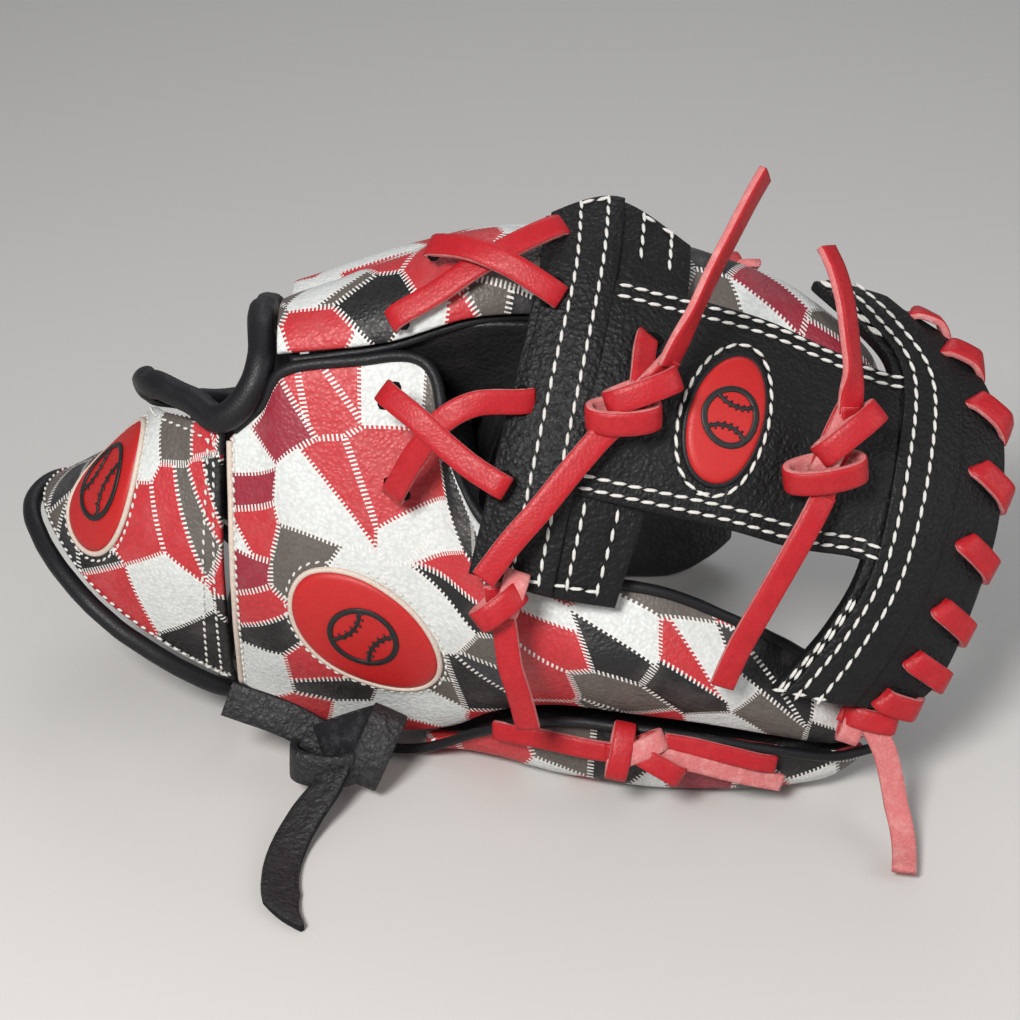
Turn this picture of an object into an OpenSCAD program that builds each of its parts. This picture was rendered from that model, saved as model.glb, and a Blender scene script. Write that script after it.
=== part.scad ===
// Youth baseball glove with a single-post web, resting palm down on its heel,
// its thumb edge and its little finger. Fingers point along +X, the thumb side
// faces -Y, +Z is up. Every leather panel is a sheet of even thickness over a
// net of control points; cords, welts and rolls are sections swept along routes.

/* [Glove] */
// Length from the wrist rim to the outer edge of the web
glove_length = 250; // [215:1:290]
// Depth from the web's face to the little finger's side
glove_depth = 130; // [112:1:152]
// Height of the resting glove, without its lace tails
glove_height = 142; // [122:1:165]

/* [Leather] */
// Thickness of the shell leather
shell_t = 2.6; // [2:0.1:3.4]
// Thickness of the palm leather
palm_t = 2.6; // [2:0.1:3.4]
// Thickness of the web, two layers sewn together
web_t = 3.6; // [2.6:0.1:4.4]
// Thickness of the web's post
post_t = 2.2; // [1.6:0.1:3]
// Thickness of the felt pads under the palm
pad_t = 3; // [2:0.1:4]
// Thickness of the lining leather
lining_t = 1.2; // [0.8:0.1:1.6]
// Thickness of the sewn-on patches
patch_t = 1.2; // [0.8:0.1:2]
// Thickness of the stiffeners in the thumb and the little finger
stiffener_t = 2.5; // [1.5:0.1:3.5]

/* [Fingers] */
// Half width of the index finger's stall
index_a = 15.5; // [13:0.5:17]
// Half thickness of the index finger's stall
index_b = 11; // [9:0.5:12]
// Half width of the middle finger's stall
middle_a = 15.5; // [13:0.5:17]
// Half thickness of the middle finger's stall
middle_b = 13; // [10:0.5:15]
// Half width of the ring finger's stall
ring_a = 14.5; // [13:0.5:16]
// Half thickness of the ring finger's stall
ring_b = 12.5; // [10:0.5:15]
// Depth of the thumb's stall, from its back to its palm side
thumb_depth = 17; // [14:0.5:20]
// Depth of the little finger's stall
little_depth = 16; // [13:0.5:19]

/* [Edges and laces] */
// Radius of the padded roll round the back opening
roll_r = 3.6; // [2.5:0.1:4.5]
// Radius of the binding along the wrist rim
rim_r = 2.2; // [1.5:0.1:3]
// Radius of the welts in the seams
welt_r = 1.2; // [0.8:0.1:1.5]
// Width of the laces
lace_w = 6; // [5:0.1:7]
// Thickness of the laces
lace_t = 1.9; // [1.4:0.1:2.4]
// Width of the heel tie
tie_w = 9.2; // [7:0.1:10]
// Thickness of the heel tie
tie_t = 2; // [1.5:0.1:2.6]
// Number of turns of lace along the web's outer edge
edge_turns = 8; // [6:1:9]

/* [Fit] */
// Clearance between layers that lie on each other
layer_gap = 0.3; // [0.2:0.05:0.6]

/* [Hidden] */

// The nets below are drawn for a glove of this size, and stretched to the size asked for.
drawn = [250, 130, 142];
stretch = [glove_length / drawn[0], glove_depth / drawn[1], glove_height / drawn[2]];
// Moves the drawing's zero to the middle of the resting glove's underside.
center = [4, -3.83, 1.05];

function at_size(p) = [for (k = [0:2]) (p[k] + center[k]) * stretch[k]];
function net(rows) = [for (row = rows) [for (p = row) at_size(p)]];
function route(points) = [for (p = points) at_size(p)];

// ---- curves and sheets ----

function unit(v) = v / max(norm(v), 1e-9);
function blend4(a, b, c, d, t) = 0.5 * (2 * b + (c - a) * t + (2 * a - 5 * b + 4 * c - d) * t * t
  + (3 * b - a - 3 * c + d) * t * t * t);
function span(u, n) = min(floor(u * (n - 1)), n - 2);
function knot(list, i) = list[max(0, min(len(list) - 1, i))];
// Point at u = 0..1 of a smooth curve through the listed points.
function along(list, u) = let (n = len(list), i = span(u, n), t = u * (n - 1) - i)
  blend4(knot(list, i - 1), list[i], list[i + 1], knot(list, i + 2), t);
// Point of a smooth surface through a net: v runs across the rows, u along them.
function on(rows, u, v) = along([for (row = rows) along(row, u)], v);
function facing(rows, u, v, e = 0.01) =
  unit(cross(on(rows, min(1, u + e), v) - on(rows, max(0, u - e), v),
             on(rows, u, min(1, v + e)) - on(rows, u, max(0, v - e))));

// Closed solid between two grids of points that face each other.
module between(outer, inner) {
  nv = len(outer);
  nu = len(outer[0]);
  points = [for (row = outer) each row, for (row = inner) each row];
  function id(side, j, i) = side * nu * nv + j * nu + i;
  function quad(a, b, c, d) = [[a, c, b], [a, d, c]];
  faces = [
    for (j = [0:nv - 2], i = [0:nu - 2]) each quad(id(0, j, i), id(0, j, i + 1), id(0, j + 1, i + 1), id(0, j + 1, i)),
    for (j = [0:nv - 2], i = [0:nu - 2]) each quad(id(1, j, i), id(1, j + 1, i), id(1, j + 1, i + 1), id(1, j, i + 1)),
    for (i = [0:nu - 2]) each quad(id(0, 0, i), id(1, 0, i), id(1, 0, i + 1), id(0, 0, i + 1)),
    for (i = [0:nu - 2]) each quad(id(0, nv - 1, i), id(0, nv - 1, i + 1), id(1, nv - 1, i + 1), id(1, nv - 1, i)),
    for (j = [0:nv - 2]) each quad(id(0, j, 0), id(0, j + 1, 0), id(1, j + 1, 0), id(1, j, 0)),
    for (j = [0:nv - 2]) each quad(id(0, j, nu - 1), id(1, j, nu - 1), id(1, j + 1, nu - 1), id(0, j + 1, nu - 1))];
  polyhedron(points, faces);
}

// Leather panel: the part of a net from u0 to u1 and v0 to v1, its outer face
// lifted off the net by lift and its thickness going inwards.
module panel(rows, nu, nv, t, lift = 0, u0 = 0, u1 = 1, v0 = 0, v1 = 1) {
  function u(i) = u0 + (u1 - u0) * i / nu;
  function v(j) = v0 + (v1 - v0) * j / nv;
  function layer(height) = [for (j = [0:nv]) [for (i = [0:nu])
    on(rows, u(i), v(j)) + facing(rows, u(i), v(j)) * height]];
  between(layer(lift), layer(lift - t));
}

// Oval patch lying on a net, about u, v. The radii are in millimetres.
module oval(rows, u, v, ru, rv, tilt, t, lift, spokes = 24, rings = 4) {
  du = norm(on(rows, u + 0.02, v) - on(rows, u - 0.02, v)) / 0.04;
  dv = norm(on(rows, u, v + 0.02) - on(rows, u, v - 0.02)) / 0.04;
  function place(k, i, height) = let (a = 360 * i / spokes, r = k / rings,
    x = r * (ru * cos(a) * cos(tilt) - rv * sin(a) * sin(tilt)),
    y = r * (ru * cos(a) * sin(tilt) + rv * sin(a) * cos(tilt)),
    pu = u + x / du, pv = v + y / dv)
    on(rows, pu, pv) + facing(rows, pu, pv) * height;
  ids = rings * spokes;
  points = [for (height = [lift, lift - t]) each
    [on(rows, u, v) + facing(rows, u, v) * height, for (k = [1:rings], i = [0:spokes - 1]) place(k, i, height)]];
  function id(side, k, i) = side * (ids + 1) + (k == 0 ? 0 : 1 + (k - 1) * spokes + i % spokes);
  faces = [
    for (i = [0:spokes - 1]) [id(0, 0, 0), id(0, 1, i + 1), id(0, 1, i)],
    for (i = [0:spokes - 1]) [id(1, 0, 0), id(1, 1, i), id(1, 1, i + 1)],
    for (k = [1:rings - 1], i = [0:spokes - 1]) each
      [[id(0, k, i), id(0, k, i + 1), id(0, k + 1, i + 1)], [id(0, k, i), id(0, k + 1, i + 1), id(0, k + 1, i)]],
    for (k = [1:rings - 1], i = [0:spokes - 1]) each
      [[id(1, k, i), id(1, k + 1, i + 1), id(1, k, i + 1)], [id(1, k, i), id(1, k + 1, i), id(1, k + 1, i + 1)]],
    for (i = [0:spokes - 1]) each
      [[id(0, rings, i), id(0, rings, i + 1), id(1, rings, i + 1)],
       [id(0, rings, i), id(1, rings, i + 1), id(1, rings, i)]]];
  polyhedron(points, faces);
}

// Section swept along a smooth route. The section is a list of [side, up]
// offsets; up leans towards the given direction.
module sweep(points, section, steps, up = [0, 0, 1], closed = false) {
  n = len(section);
  loop = closed ? [points[len(points) - 2], each points, points[1]] : points;
  m = len(loop);
  function u(i) = closed ? (1 + i / steps * (m - 3)) / (m - 1) : i / steps;
  last = closed ? steps - 1 : steps;
  function ring(i) = let (p = along(loop, u(i)),
    d = unit(along(loop, min(1, u(i) + 0.004)) - along(loop, max(0, u(i) - 0.004))),
    side = unit(cross(d, up)), high = cross(side, d))
    [for (s = section) p + side * s[0] + high * s[1]];
  points3 = [for (i = [0:last]) each ring(i)];
  function id(i, k) = (i % (last + 1)) * n + k % n;
  faces = [
    for (i = [0:steps - 1], k = [0:n - 1]) each
      [[id(i, k), id(i, k + 1), id(i + 1, k + 1)], [id(i, k), id(i + 1, k + 1), id(i + 1, k)]],
    if (!closed) [for (k = [n - 1:-1:0]) id(0, k)],
    if (!closed) [for (k = [0:n - 1]) id(last, k)]];
  polyhedron(points3, faces);
}
function disc(r, n = 8) = [for (k = [0:n - 1]) r * [cos(360 * k / n), sin(360 * k / n)]];
function ribbon(w, t) = [[w / 2, -t / 2], [w / 2, 0], [w / 2, t / 2], [0, t / 2],
  [-w / 2, t / 2], [-w / 2, 0], [-w / 2, -t / 2], [0, -t / 2]];
module cord(points, w, t, steps, up = [0, -0.5, 0.8]) sweep(route(points), ribbon(w, t), steps, up);
// Overhand knot of flat lace: a lump of rounded outline, turned to lie on the leather.
module lump(p, size, turn) translate(at_size(p)) rotate(turn) resize(size) sphere(r = 1, $fn = 12);

// ---- the nets ----

rim = [[-73, -22, 14], [-90, -24, 27], [-108, -18, 40], [-121, -2, 49], [-126, 14, 52],
  [-121, 30, 50], [-108, 44, 40], [-90, 49, 27], [-74, 48, 14]];
strap_middle = [[-72, -33, 52], [-85, -30, 59], [-99, -20, 66], [-106, -3, 68], [-108, 14, 64],
  [-106, 31, 57], [-99, 46, 49], [-85, 54, 42], [-73, 55, 37]];
strap_top = [[-71.5, -24.5, 89.5], [-78, -19, 90], [-87, -11, 89], [-91, 1, 84.5], [-92.5, 14, 77],
  [-91, 28, 68], [-86, 39, 61], [-79, 48, 57], [-72, 52.5, 57]];
strap_net = net([strap_top, strap_middle, rim]);

thumb_low = [[-71, -22, 14], [-60, -26, 9], [-45, -29, 5.5], [-28, -31.5, 5], [-15, -35, 9], [-3, -42, 19],
  [12, -48, 25], [30, -54, 26.5], [48, -56, 25], [65, -55, 21], [80, -53, 17], [90, -50, 17]];
thumb_mid = [[-69.5, -33, 52], [-60, -37, 52], [-49, -40.5, 54], [-33, -44, 55], [-18, -47, 54], [-8, -52, 52],
  [5, -57, 48], [22, -60.5, 46.5], [42, -61.5, 43.5], [63, -60, 36], [79, -57, 28], [90.5, -51, 21]];
thumb_high = [[-69, -24.5, 88.5], [-61, -24, 96], [-55, -24, 105.5], [-38, -24.5, 108.5], [-21, -24.5, 108.5],
  [-16, -34, 95], [-8, -43, 77], [10, -51, 65.5], [36, -53, 61], [60, -53, 50], [78, -52, 38], [89.5, -49.5, 25]];
thumb_net = net([thumb_low, thumb_mid, thumb_high]);

// Under the welt, round the bottom and up the palm side of the thumb's stall.
thumb_under = [[-22, -34, 4], [-3, -40, 13], [12, -46, 20], [30, -51, 22], [48, -53, 20.5], [65, -52.5, 17], [80, -51, 13.5], [89, -48, 14]];
thumb_floor = [[-22, -30, 3], [-3, -38, 5], [12, -44, 4.5], [30, -50, 5], [48, -51.5, 4.7], [65, -51, 4.6], [80, -49, 6.4], [88.5, -46, 11]];
thumb_floor_in = [[-22, -20, 3], [-3, -27, 4.5], [12, -31, 4.5], [30, -35, 5], [48, -37, 4.7], [65, -37, 4.6], [80, -38.5, 7], [88.5, -42, 12]];
thumb_palm_mid = [[-18, -17, 22], [-4, -25, 28], [12, -31, 28], [30, -36, 28], [48, -38, 26], [65, -38, 22], [80, -39, 16], [88.5, -42.5, 15]];
thumb_palm_top = [[-12, -22, 50], [-4, -31, 58], [10, -38, 58], [30, -41, 54], [48, -42.5, 49], [63, -43, 41], [78, -43, 31], [88.5, -44, 20]];
// The palm wall is drawn for a stall of this depth, and moves with the depth asked for.
thumb_drawn = 17;
function shifted(row, y) = [for (p = row) p + [0, y, 0]];
thumb_shift = thumb_depth - thumb_drawn;
thumb_front_net = net([thumb_under, thumb_floor, for (row = [thumb_floor_in, thumb_palm_mid, thumb_palm_top]) shifted(row, thumb_shift)]);

little_low = [[-71, 48, 13], [-45, 54, 6], [-18, 60, 4.5], [8, 65, 4], [32, 69, 4], [48, 69, 4], [60, 66, 7], [67, 63, 14]];
little_mid = [[-70, 55, 44], [-48, 64, 43], [-22, 71, 41], [5, 76, 38], [30, 79, 34], [47, 78, 29], [60, 72, 23], [68, 65, 19]];
little_high = [[-70, 53.5, 57], [-54, 60, 66], [-30, 66.5, 69], [-5, 72.5, 66.5], [18, 75.5, 62], [38, 75.5, 54.5], [55, 71.5, 43], [67, 66, 27]];
little_net = net([little_high, little_mid, little_low]);
little_under = [[-14, 58, 0.8], [8, 62, 0.4], [32, 66, 0.4], [48, 66, 0.7], [60, 63, 4.5], [66.5, 60, 11]];
little_palm_low = [[-14, 46, 1.5], [8, 49, 1], [32, 53, 1], [48, 54, 1.5], [59, 55, 7], [66, 57, 12]];
little_palm_mid = [[-10, 50, 26], [8, 54, 26], [32, 58, 24], [48, 58, 21], [59, 58, 17], [66, 58.5, 16]];
little_palm_top = [[-6, 55, 50], [10, 59, 48], [32, 63, 44], [47, 64, 36], [58, 63, 28], [66, 61, 21]];
little_drawn = 16;
little_shift = little_drawn - little_depth;
little_front_net = net([little_under, for (row = [little_palm_low, little_palm_mid, little_palm_top]) shifted(row, little_shift)]);

// Palm: stations from the wrist to the fingers, each from the thumb side to the
// little finger's side. The last value is how far that side hangs lower.
palm_stations = [[-74.5, 14, -12, 42, 0], [-60, 8, 2, 36, 0], [-40, 6, 2, 36, 0], [-23, 11, 1, 36, 0],
  [-13, 34, 1, 38, 2], [-9, 56, -4, 42, 6], [-4, 78, -12, 47, 17], [1, 96, -17, 50, 30]];
palm_dish = [0, 0, 0, 2, 6, 7, 5, 2];
function palm_row(w) = [for (i = [0:len(palm_stations) - 1]) let (s = palm_stations[i], hollow = 4 * w * (1 - w) * palm_dish[i])
  [s[0] - hollow, s[2] + (s[3] - s[2]) * w, s[1] - s[4] * w * w]];
palm_net = net([for (w = [1, 0.75, 0.5, 0.25, 0]) palm_row(w)]);

// A finger's stall: stations [x, y, z, scale, tilt of its width].
index_line = [[-56, -7, 103, 1, 18], [-30, -6.5, 111.5, 1.02, 0], [-7, -4.8, 119, 1.03, -4], [20, -0.5, 116.5, 0.95, -4],
  [44, 0.5, 113, 0.95, -2], [66, 0, 105.5, 0.9, 0], [80, -1, 98.5, 0.74, 4], [88, -2, 94, 0.5, 6], [91, -2.5, 91.5, 0.24, 6]];
middle_line = [[-56, 23.5, 93, 0.95, 24], [-30, 27, 99.5, 1, 24], [-4, 29.5, 104.5, 1.04, 24], [20, 32, 103, 1.04, 25],
  [44, 33.5, 97.5, 1.02, 26], [68, 33, 88.5, 0.96, 27], [86, 31.5, 77, 0.8, 28], [97, 30, 67, 0.5, 28], [100.5, 29.5, 63, 0.24, 28]];
ring_line = [[-56.5, 45, 78, 0.86, 42], [-30, 52.5, 82, 0.96, 46], [-4, 57, 83, 1, 46], [20, 59.5, 80, 1, 47],
  [42, 60.5, 73, 0.98, 48], [62, 59.5, 64, 0.94, 50], [78, 57.5, 53, 0.78, 50], [87, 56, 45, 0.5, 50], [90, 55.5, 41.5, 0.24, 50]];
// Half angle of the seam that the welt fills
seam_angle = 9;
// Rows of the stall's net from angle from to angle to, seen along +X.
function stall_net(line, a, b, from, to, rows = 6) = [for (j = [0:rows]) let (w = from + (to - from) * j / rows)
  [for (s = line) let (x = a * s[3] * cos(w), y = b * s[3] * sin(w))
    at_size([s[0], s[1], s[2]]) + [0, x * cos(s[4]) + y * sin(s[4]), -x * sin(s[4]) + y * cos(s[4])]]];
module stall_back(line, a, b)
  panel(stall_net(line, a, b, seam_angle, 180 - seam_angle), 18, 8, shell_t);
// The palm side starts past the hand's space.
front_start = 0.4;
module stall_front(line, a, b)
  panel(stall_net(line, a, b, 180 + seam_angle, 360 - seam_angle), 14, 8, shell_t, u0 = front_start);
module stall_welts(line, a, b) for (w = [0, 180])
  sweep([for (u = [0.02:0.13:0.94]) along(stall_net(line, a - welt_r, b, w, w + 1, 1)[0], u)], disc(welt_r), 16);

// The web: base bar, post and top bar, each with rows from its left to its right edge.
base_bar_net = net([
  [[8, -2, 137], [6.3, -22, 129.5], [0.5, -37.5, 110.5], [-4.5, -50, 92], [-10, -58, 70]],
  [[26, 0, 141.5], [24, -18.5, 133], [19, -39.5, 114.5], [13, -55, 91], [8, -62, 66]],
  [[44.5, -3, 130.5], [43, -18, 126], [38, -39, 108.5], [32, -54.5, 86], [25, -61, 62]]]);
// The post's left end lies on the base bar, past its two rows of stitches.
post_lift = post_t + layer_gap;
function on_base(u, v) = on(base_bar_net, u, v) + facing(base_bar_net, u, v) * post_lift;
// How far down the base bar the post's upper edge, middle and lower edge lie
post_heights = [0.3, 0.525, 0.755];
post_net = concat([for (v = [0.42, 0.72, 0.98]) [for (u = post_heights) on_base(u, v)]], net([
  [[60, -20.5, 119.5], [56, -41.5, 103.5], [50, -57, 82]],
  [[76, -20.8, 112], [72, -41.5, 97.3], [67, -56, 76]],
  [[91.6, -20.8, 104.6], [88, -41.5, 91], [82.5, -55, 72]]]));
top_bar_net = net([
  [[76, 2.5, 119], [85, -9, 114], [93, -21, 105.5], [89.3, -42, 91.5], [83.8, -56.5, 71.5], [75.5, -62, 57], [63, -65, 41]],
  [[92, 2.5, 114.5], [101, -8, 109], [108, -22, 99], [105, -41, 83.5], [98, -54, 65], [89, -61.5, 50], [80, -65, 37]],
  [[103.5, 2, 108], [114, -7, 103], [121, -24, 90.5], [119.5, -38, 72], [113, -48, 52], [105.5, -56, 38], [97, -60, 31.5]]]);

// ---- the sub-parts: wrist and back ----

module wrist_strap() color("crimson") panel(strap_net, 28, 8, shell_t);
module strap_lining() color("dimgray") panel(strap_net, 24, 6, lining_t, -shell_t - layer_gap, 0.02, 0.98, 0.06, 0.94);
// A patch: where it lies along and across its net, its two half sizes and its turn.
strap_patch_place = [0.32, 0.48, 14, 17, 6];
thumb_patch_place = [0.25, 0.395, 22.5, 15.9, -40];
web_patch_place = [0.55, 0.552, 15, 9.3, -8];
module patch(net, p) color("red") oval(net, p[0], p[1], p[2], p[3], p[4], patch_t, patch_t + layer_gap);
module strap_patch() patch(strap_net, strap_patch_place);

// The roll stands on the strap's upper edge and runs round the back opening.
roll_route = [[-71, -24, 94], [-80, -16.5, 95.5], [-89, -8, 94.5], [-93, 3, 90], [-94.5, 14, 82.5], [-93, 27, 74],
  [-88, 39, 67], [-80, 47, 62.5], [-70, 51.5, 63], [-63, 50, 72], [-62, 40, 89], [-62, 25, 100.5], [-62, 8, 108],
  [-61.5, -7, 111], [-60.6, -18.5, 107.5], [-63.8, -23.8, 100], [-71, -24, 94]];
module back_opening_roll() color("black") sweep(route(roll_route), disc(roll_r, 10), 48, [0.2, 0.1, 1], closed = true);

binding_route = [[-74.5, -20, 11], [-90, -25, 23.5], [-109, -19, 36.5], [-123.5, -3, 46], [-129, 14, 49],
  [-123.5, 31, 47], [-109, 46, 36.5], [-90, 51, 23.5], [-76.5, 48, 10.5], [-78, 32, 9], [-78, 14, 8.5], [-78, -4, 9], [-74.5, -20, 11]];
module wrist_binding() color("black") sweep(route(binding_route), disc(rim_r), 40, [0.3, 0.1, 1], closed = true);

// ---- palm ----

module palm_leather() color("black") panel(palm_net, 26, 10, palm_t);
pad_lift = -palm_t - layer_gap;
module palm_pad() color("tan") panel(palm_net, 10, 6, pad_t, pad_lift, 0.52, 0.86, 0.14, 0.86);
module heel_pad() color("tan") panel(palm_net, 12, 6, pad_t, pad_lift, 0.08, 0.46, 0.14, 0.86);
module hand_lining() color("dimgray") panel(palm_net, 20, 8, lining_t, pad_lift - pad_t - layer_gap, 0.12, 0.92, 0.1, 0.9);

// ---- finger stalls ----

module index_back() color("white") stall_back(index_line, index_a, index_b);
module index_front() color("black") stall_front(index_line, index_a, index_b);
module index_welts() color("black") stall_welts(index_line, index_a, index_b);
module middle_back() color("crimson") stall_back(middle_line, middle_a, middle_b);
module middle_front() color("black") stall_front(middle_line, middle_a, middle_b);
module middle_welts() color("black") stall_welts(middle_line, middle_a, middle_b);
module ring_back() color("gray") stall_back(ring_line, ring_a, ring_b);
module ring_front() color("black") stall_front(ring_line, ring_a, ring_b);
module ring_welts() color("black") stall_welts(ring_line, ring_a, ring_b);

// One lace ties the three stalls together over the gaps between them.
finger_lace_route = [[60.8, 9.5, 121], [60, 17, 115], [60, 23, 109], [59, 32, 109.5], [58, 41, 109], [57, 49, 103], [56.5, 55, 94], [56, 62, 86]];
module finger_lace() color("red") cord(finger_lace_route, lace_w, lace_t, 14, [0, 0.2, 1]);

// ---- thumb ----

module thumb_back() color("white") panel(thumb_net, 30, 9, shell_t);
module thumb_front() color("crimson") panel(thumb_front_net, 18, 14, shell_t);
welt_route = [[-60, -28.5, 4.5], [-44, -32, 2.6], [-24, -35.5, 2.6], [-5, -43.5, 14.5], [12, -50.5, 22], [30, -56, 23.8], [48, -58, 22], [65, -57, 18],
  [80, -55, 14.5], [91, -51.5, 14.5]];
module thumb_welt() color("black") sweep(route(welt_route), disc(welt_r), 28);
module thumb_patch() patch(thumb_net, thumb_patch_place);
module thumb_stiffener() color("white") panel(thumb_net, 14, 5, stiffener_t, -shell_t - layer_gap, 0.3, 0.9, 0.2, 0.8);

// Lace sewn in and out along the stall's underside, with its knot.
thumb_lace_route = [[-4, -44.5, 15], [8, -51, 17], [20, -56, 17.5], [32, -58, 16.5], [46, -58, 14], [58, -57, 11], [70, -55, 8.5]];
module thumb_lace() color("red") union() {
  cord(thumb_lace_route, lace_w, lace_t, 16, [0, -1, 0]);
  lump([33, -61, 17], [17, 6, 12], [0, 8, -3]);
}
module thumb_tip_knot() color("red") lump([85.5, -59, 25.5], [13, 7, 9], [0, 20, 14]);
thumb_tip_tail_route = [[88.5, -62, 29], [90, -63, 26.5], [92, -64, 22], [93.8, -66, 15.5], [95, -68.5, 9.8], [96, -72, 6.2], [96.2, -76, 4], [95.7, -81, 2.9], [95, -85, 2.6]];
module thumb_tip_tail() color("red") cord(thumb_tip_tail_route, lace_w, lace_t, 12, [0.15, -1, 0.1]);

module heel_tie_knot() color("black") union() {
  lump([-43, -47.5, 10.5], [20, 14, 19], [0, 12, 0]);
  lump([-32, -44, 15], [17, 9, 17], [0, -30, 20]);
  cord([[-47.5, -47, 14.5], [-55, -45, 18.5], [-63, -43.5, 21.5], [-70.5, -42.3, 24]], tie_w, tie_t, 8, [0, -0.9, 0.4]);
}
heel_tie_tail_route = [[-43, -53.5, 11.5], [-44.3, -56.5, 9.8], [-46.5, -60, 7.5], [-50.5, -65.5, 4.5], [-54, -73, 1.6], [-55.5, -81.5, 0.6], [-55, -90.5, 0.5],
  [-52.5, -97.5, 0.5], [-48.7, -103, 0.5]];
module heel_tie_tail() color("black") cord(heel_tie_tail_route, tie_w, tie_t, 14, [0, 0.1, 1]);

// ---- web ----

module web_base_bar() color("black") panel(base_bar_net, 14, 6, web_t);
module web_center_post() color("black") panel(post_net, 8, 12, post_t);
module web_top_bar() color("black") panel(top_bar_net, 18, 6, web_t);
module web_patch() patch(post_net, web_patch_place);

// Whip lace: turns of lace that go over the top bar's outer edge.
edge_first = 0.06;
edge_last = 0.94;
// How far in from the edge the turns enter the leather
turn_reach = 0.28;
edge_lift = lace_t / 2 + layer_gap;
module edge_turn(u) {
  du = 0.022;
  top = on(top_bar_net, u - du, 1 - turn_reach) + facing(top_bar_net, u - du, 1 - turn_reach) * edge_lift;
  mid = on(top_bar_net, u, 0.9) + facing(top_bar_net, u, 0.9) * edge_lift;
  out = unit(on(top_bar_net, u, 1) - on(top_bar_net, u, 0.95));
  tip = on(top_bar_net, u + du / 2, 1) + out * edge_lift - facing(top_bar_net, u, 1) * web_t / 2;
  low = on(top_bar_net, u + du, 0.9) - facing(top_bar_net, u + du, 0.9) * (web_t + edge_lift);
  end = on(top_bar_net, u + du * 1.5, 1 - turn_reach) - facing(top_bar_net, u, 1 - turn_reach) * (web_t + edge_lift);
  side = unit(on(top_bar_net, u + 0.01, 1) - on(top_bar_net, u - 0.01, 1));
  // The ribbon's width lies along the edge.
  sweep([top, mid, tip, low, end], ribbon(lace_t, lace_w), 8, side);
}
module web_edge_lace() color("red") for (k = [0:edge_turns - 1])
  edge_turn(edge_first + (edge_last - edge_first) * k / (edge_turns - 1));

module crotch_lace_upper() color("red") union() {
  cord([[-26, -25.5, 122.5], [-17, -24, 127.5], [-8, -21.5, 133], [2, -17, 137], [10, -12.5, 139]], lace_w, lace_t, 10);
  cord([[-17, -16, 136], [-9, -22, 137.5], [0, -26.5, 135.5], [9, -29, 130.5]], lace_w, lace_t, 10);
}
module crotch_lace_lower() color("red") union() {
  cord([[-27, -47, 87], [-22, -47, 97], [-16, -47, 105.5], [-8, -46, 109.5], [2, -45, 109]], lace_w, lace_t, 10);
  cord([[-28, -42.5, 109], [-21.5, -50, 106], [-15, -53.5, 101], [-9, -56, 97], [-3, -58, 94.5]], lace_w, lace_t, 10);
}
module post_knot() color("red") lump([30.2, -49.5, 115], [17, 10, 13], [0, -12, -8]);
post_tail_up_route = [[36, -48, 120], [38.5, -48, 126], [42, -46, 133], [46, -42.5, 141], [50.5, -38, 148.5], [54.8, -33, 155], [58, -29, 159]];
module post_tail_up() color("red") cord(post_tail_up_route, lace_w, lace_t, 12, [1, -0.3, -0.3]);
post_tail_down_route = [[24.5, -54, 108.5], [20, -56.5, 105], [13.5, -60.5, 98.5], [7, -64.5, 91.5], [0, -67.5, 84], [-6.2, -70, 76]];
module post_tail_down() color("red") cord(post_tail_down_route, lace_w, lace_t, 10, [0.3, -1, 0.1]);
module top_bar_knot() color("red") lump([77, -50, 102], [17, 10, 17], [0, -25, -10]);
top_bar_tail_up_route = [[78.3, -49.5, 108.5], [78.5, -48.6, 113], [78.5, -47.5, 119], [77.5, -45, 126.5], [76.3, -42, 133.5], [74.4, -38.5, 139.5], [72.2, -35, 143.5]];
module top_bar_tail_up() color("red") cord(top_bar_tail_up_route, lace_w, lace_t, 11, [1, -0.5, 0]);
top_bar_tail_down_route = [[73, -56.5, 91], [69.7, -60.5, 86], [64, -64.5, 76], [58.5, -67, 65.5], [53.7, -68.5, 55.5], [50.3, -69.5, 46]];
module top_bar_tail_down() color("red") cord(top_bar_tail_down_route, lace_w, lace_t, 10, [0.3, -1, 0.1]);
base_tail_route = [[-1.2, -66.5, 61], [0, -69.5, 52], [1.5, -70, 46.5], [3, -69.5, 40], [4.3, -69, 33.5]];
module base_knot() color("red") union() {
  lump([-1.5, -65.5, 65.5], [10, 8, 15], [0, 10, 0]);
  cord(base_tail_route, lace_w, lace_t, 9, [0.2, -1, 0]);
}

// ---- little finger ----

module little_back() color("crimson") panel(little_net, 24, 8, shell_t);
module little_front() color("black") panel(little_front_net, 12, 10, shell_t);
little_welt_route = [[-46, 57, 3], [-18, 63.5, 2.2], [8, 68.5, 2], [32, 72.5, 2], [49, 72.5, 2.4], [61, 69, 5], [69, 65.5, 12]];
module little_welt() color("black") sweep(route(little_welt_route), disc(welt_r), 20);
module little_stiffener() color("white") panel(little_net, 12, 5, stiffener_t, -shell_t - layer_gap, 0.3, 0.85, 0.2, 0.8);

wrist_strap();
strap_lining();
strap_patch();
back_opening_roll();
wrist_binding();
palm_leather();
palm_pad();
heel_pad();
hand_lining();
index_back();
index_front();
index_welts();
middle_back();
middle_front();
middle_welts();
ring_back();
ring_front();
ring_welts();
finger_lace();
thumb_back();
thumb_front();
thumb_welt();
thumb_patch();
thumb_stiffener();
thumb_lace();
thumb_tip_knot();
thumb_tip_tail();
heel_tie_knot();
heel_tie_tail();
web_base_bar();
web_center_post();
web_top_bar();
web_patch();
web_edge_lace();
crotch_lace_upper();
crotch_lace_lower();
post_knot();
post_tail_up();
post_tail_down();
top_bar_knot();
top_bar_tail_up();
top_bar_tail_down();
base_knot();
little_back();
little_front();
little_welt();
little_stiffener();
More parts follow.
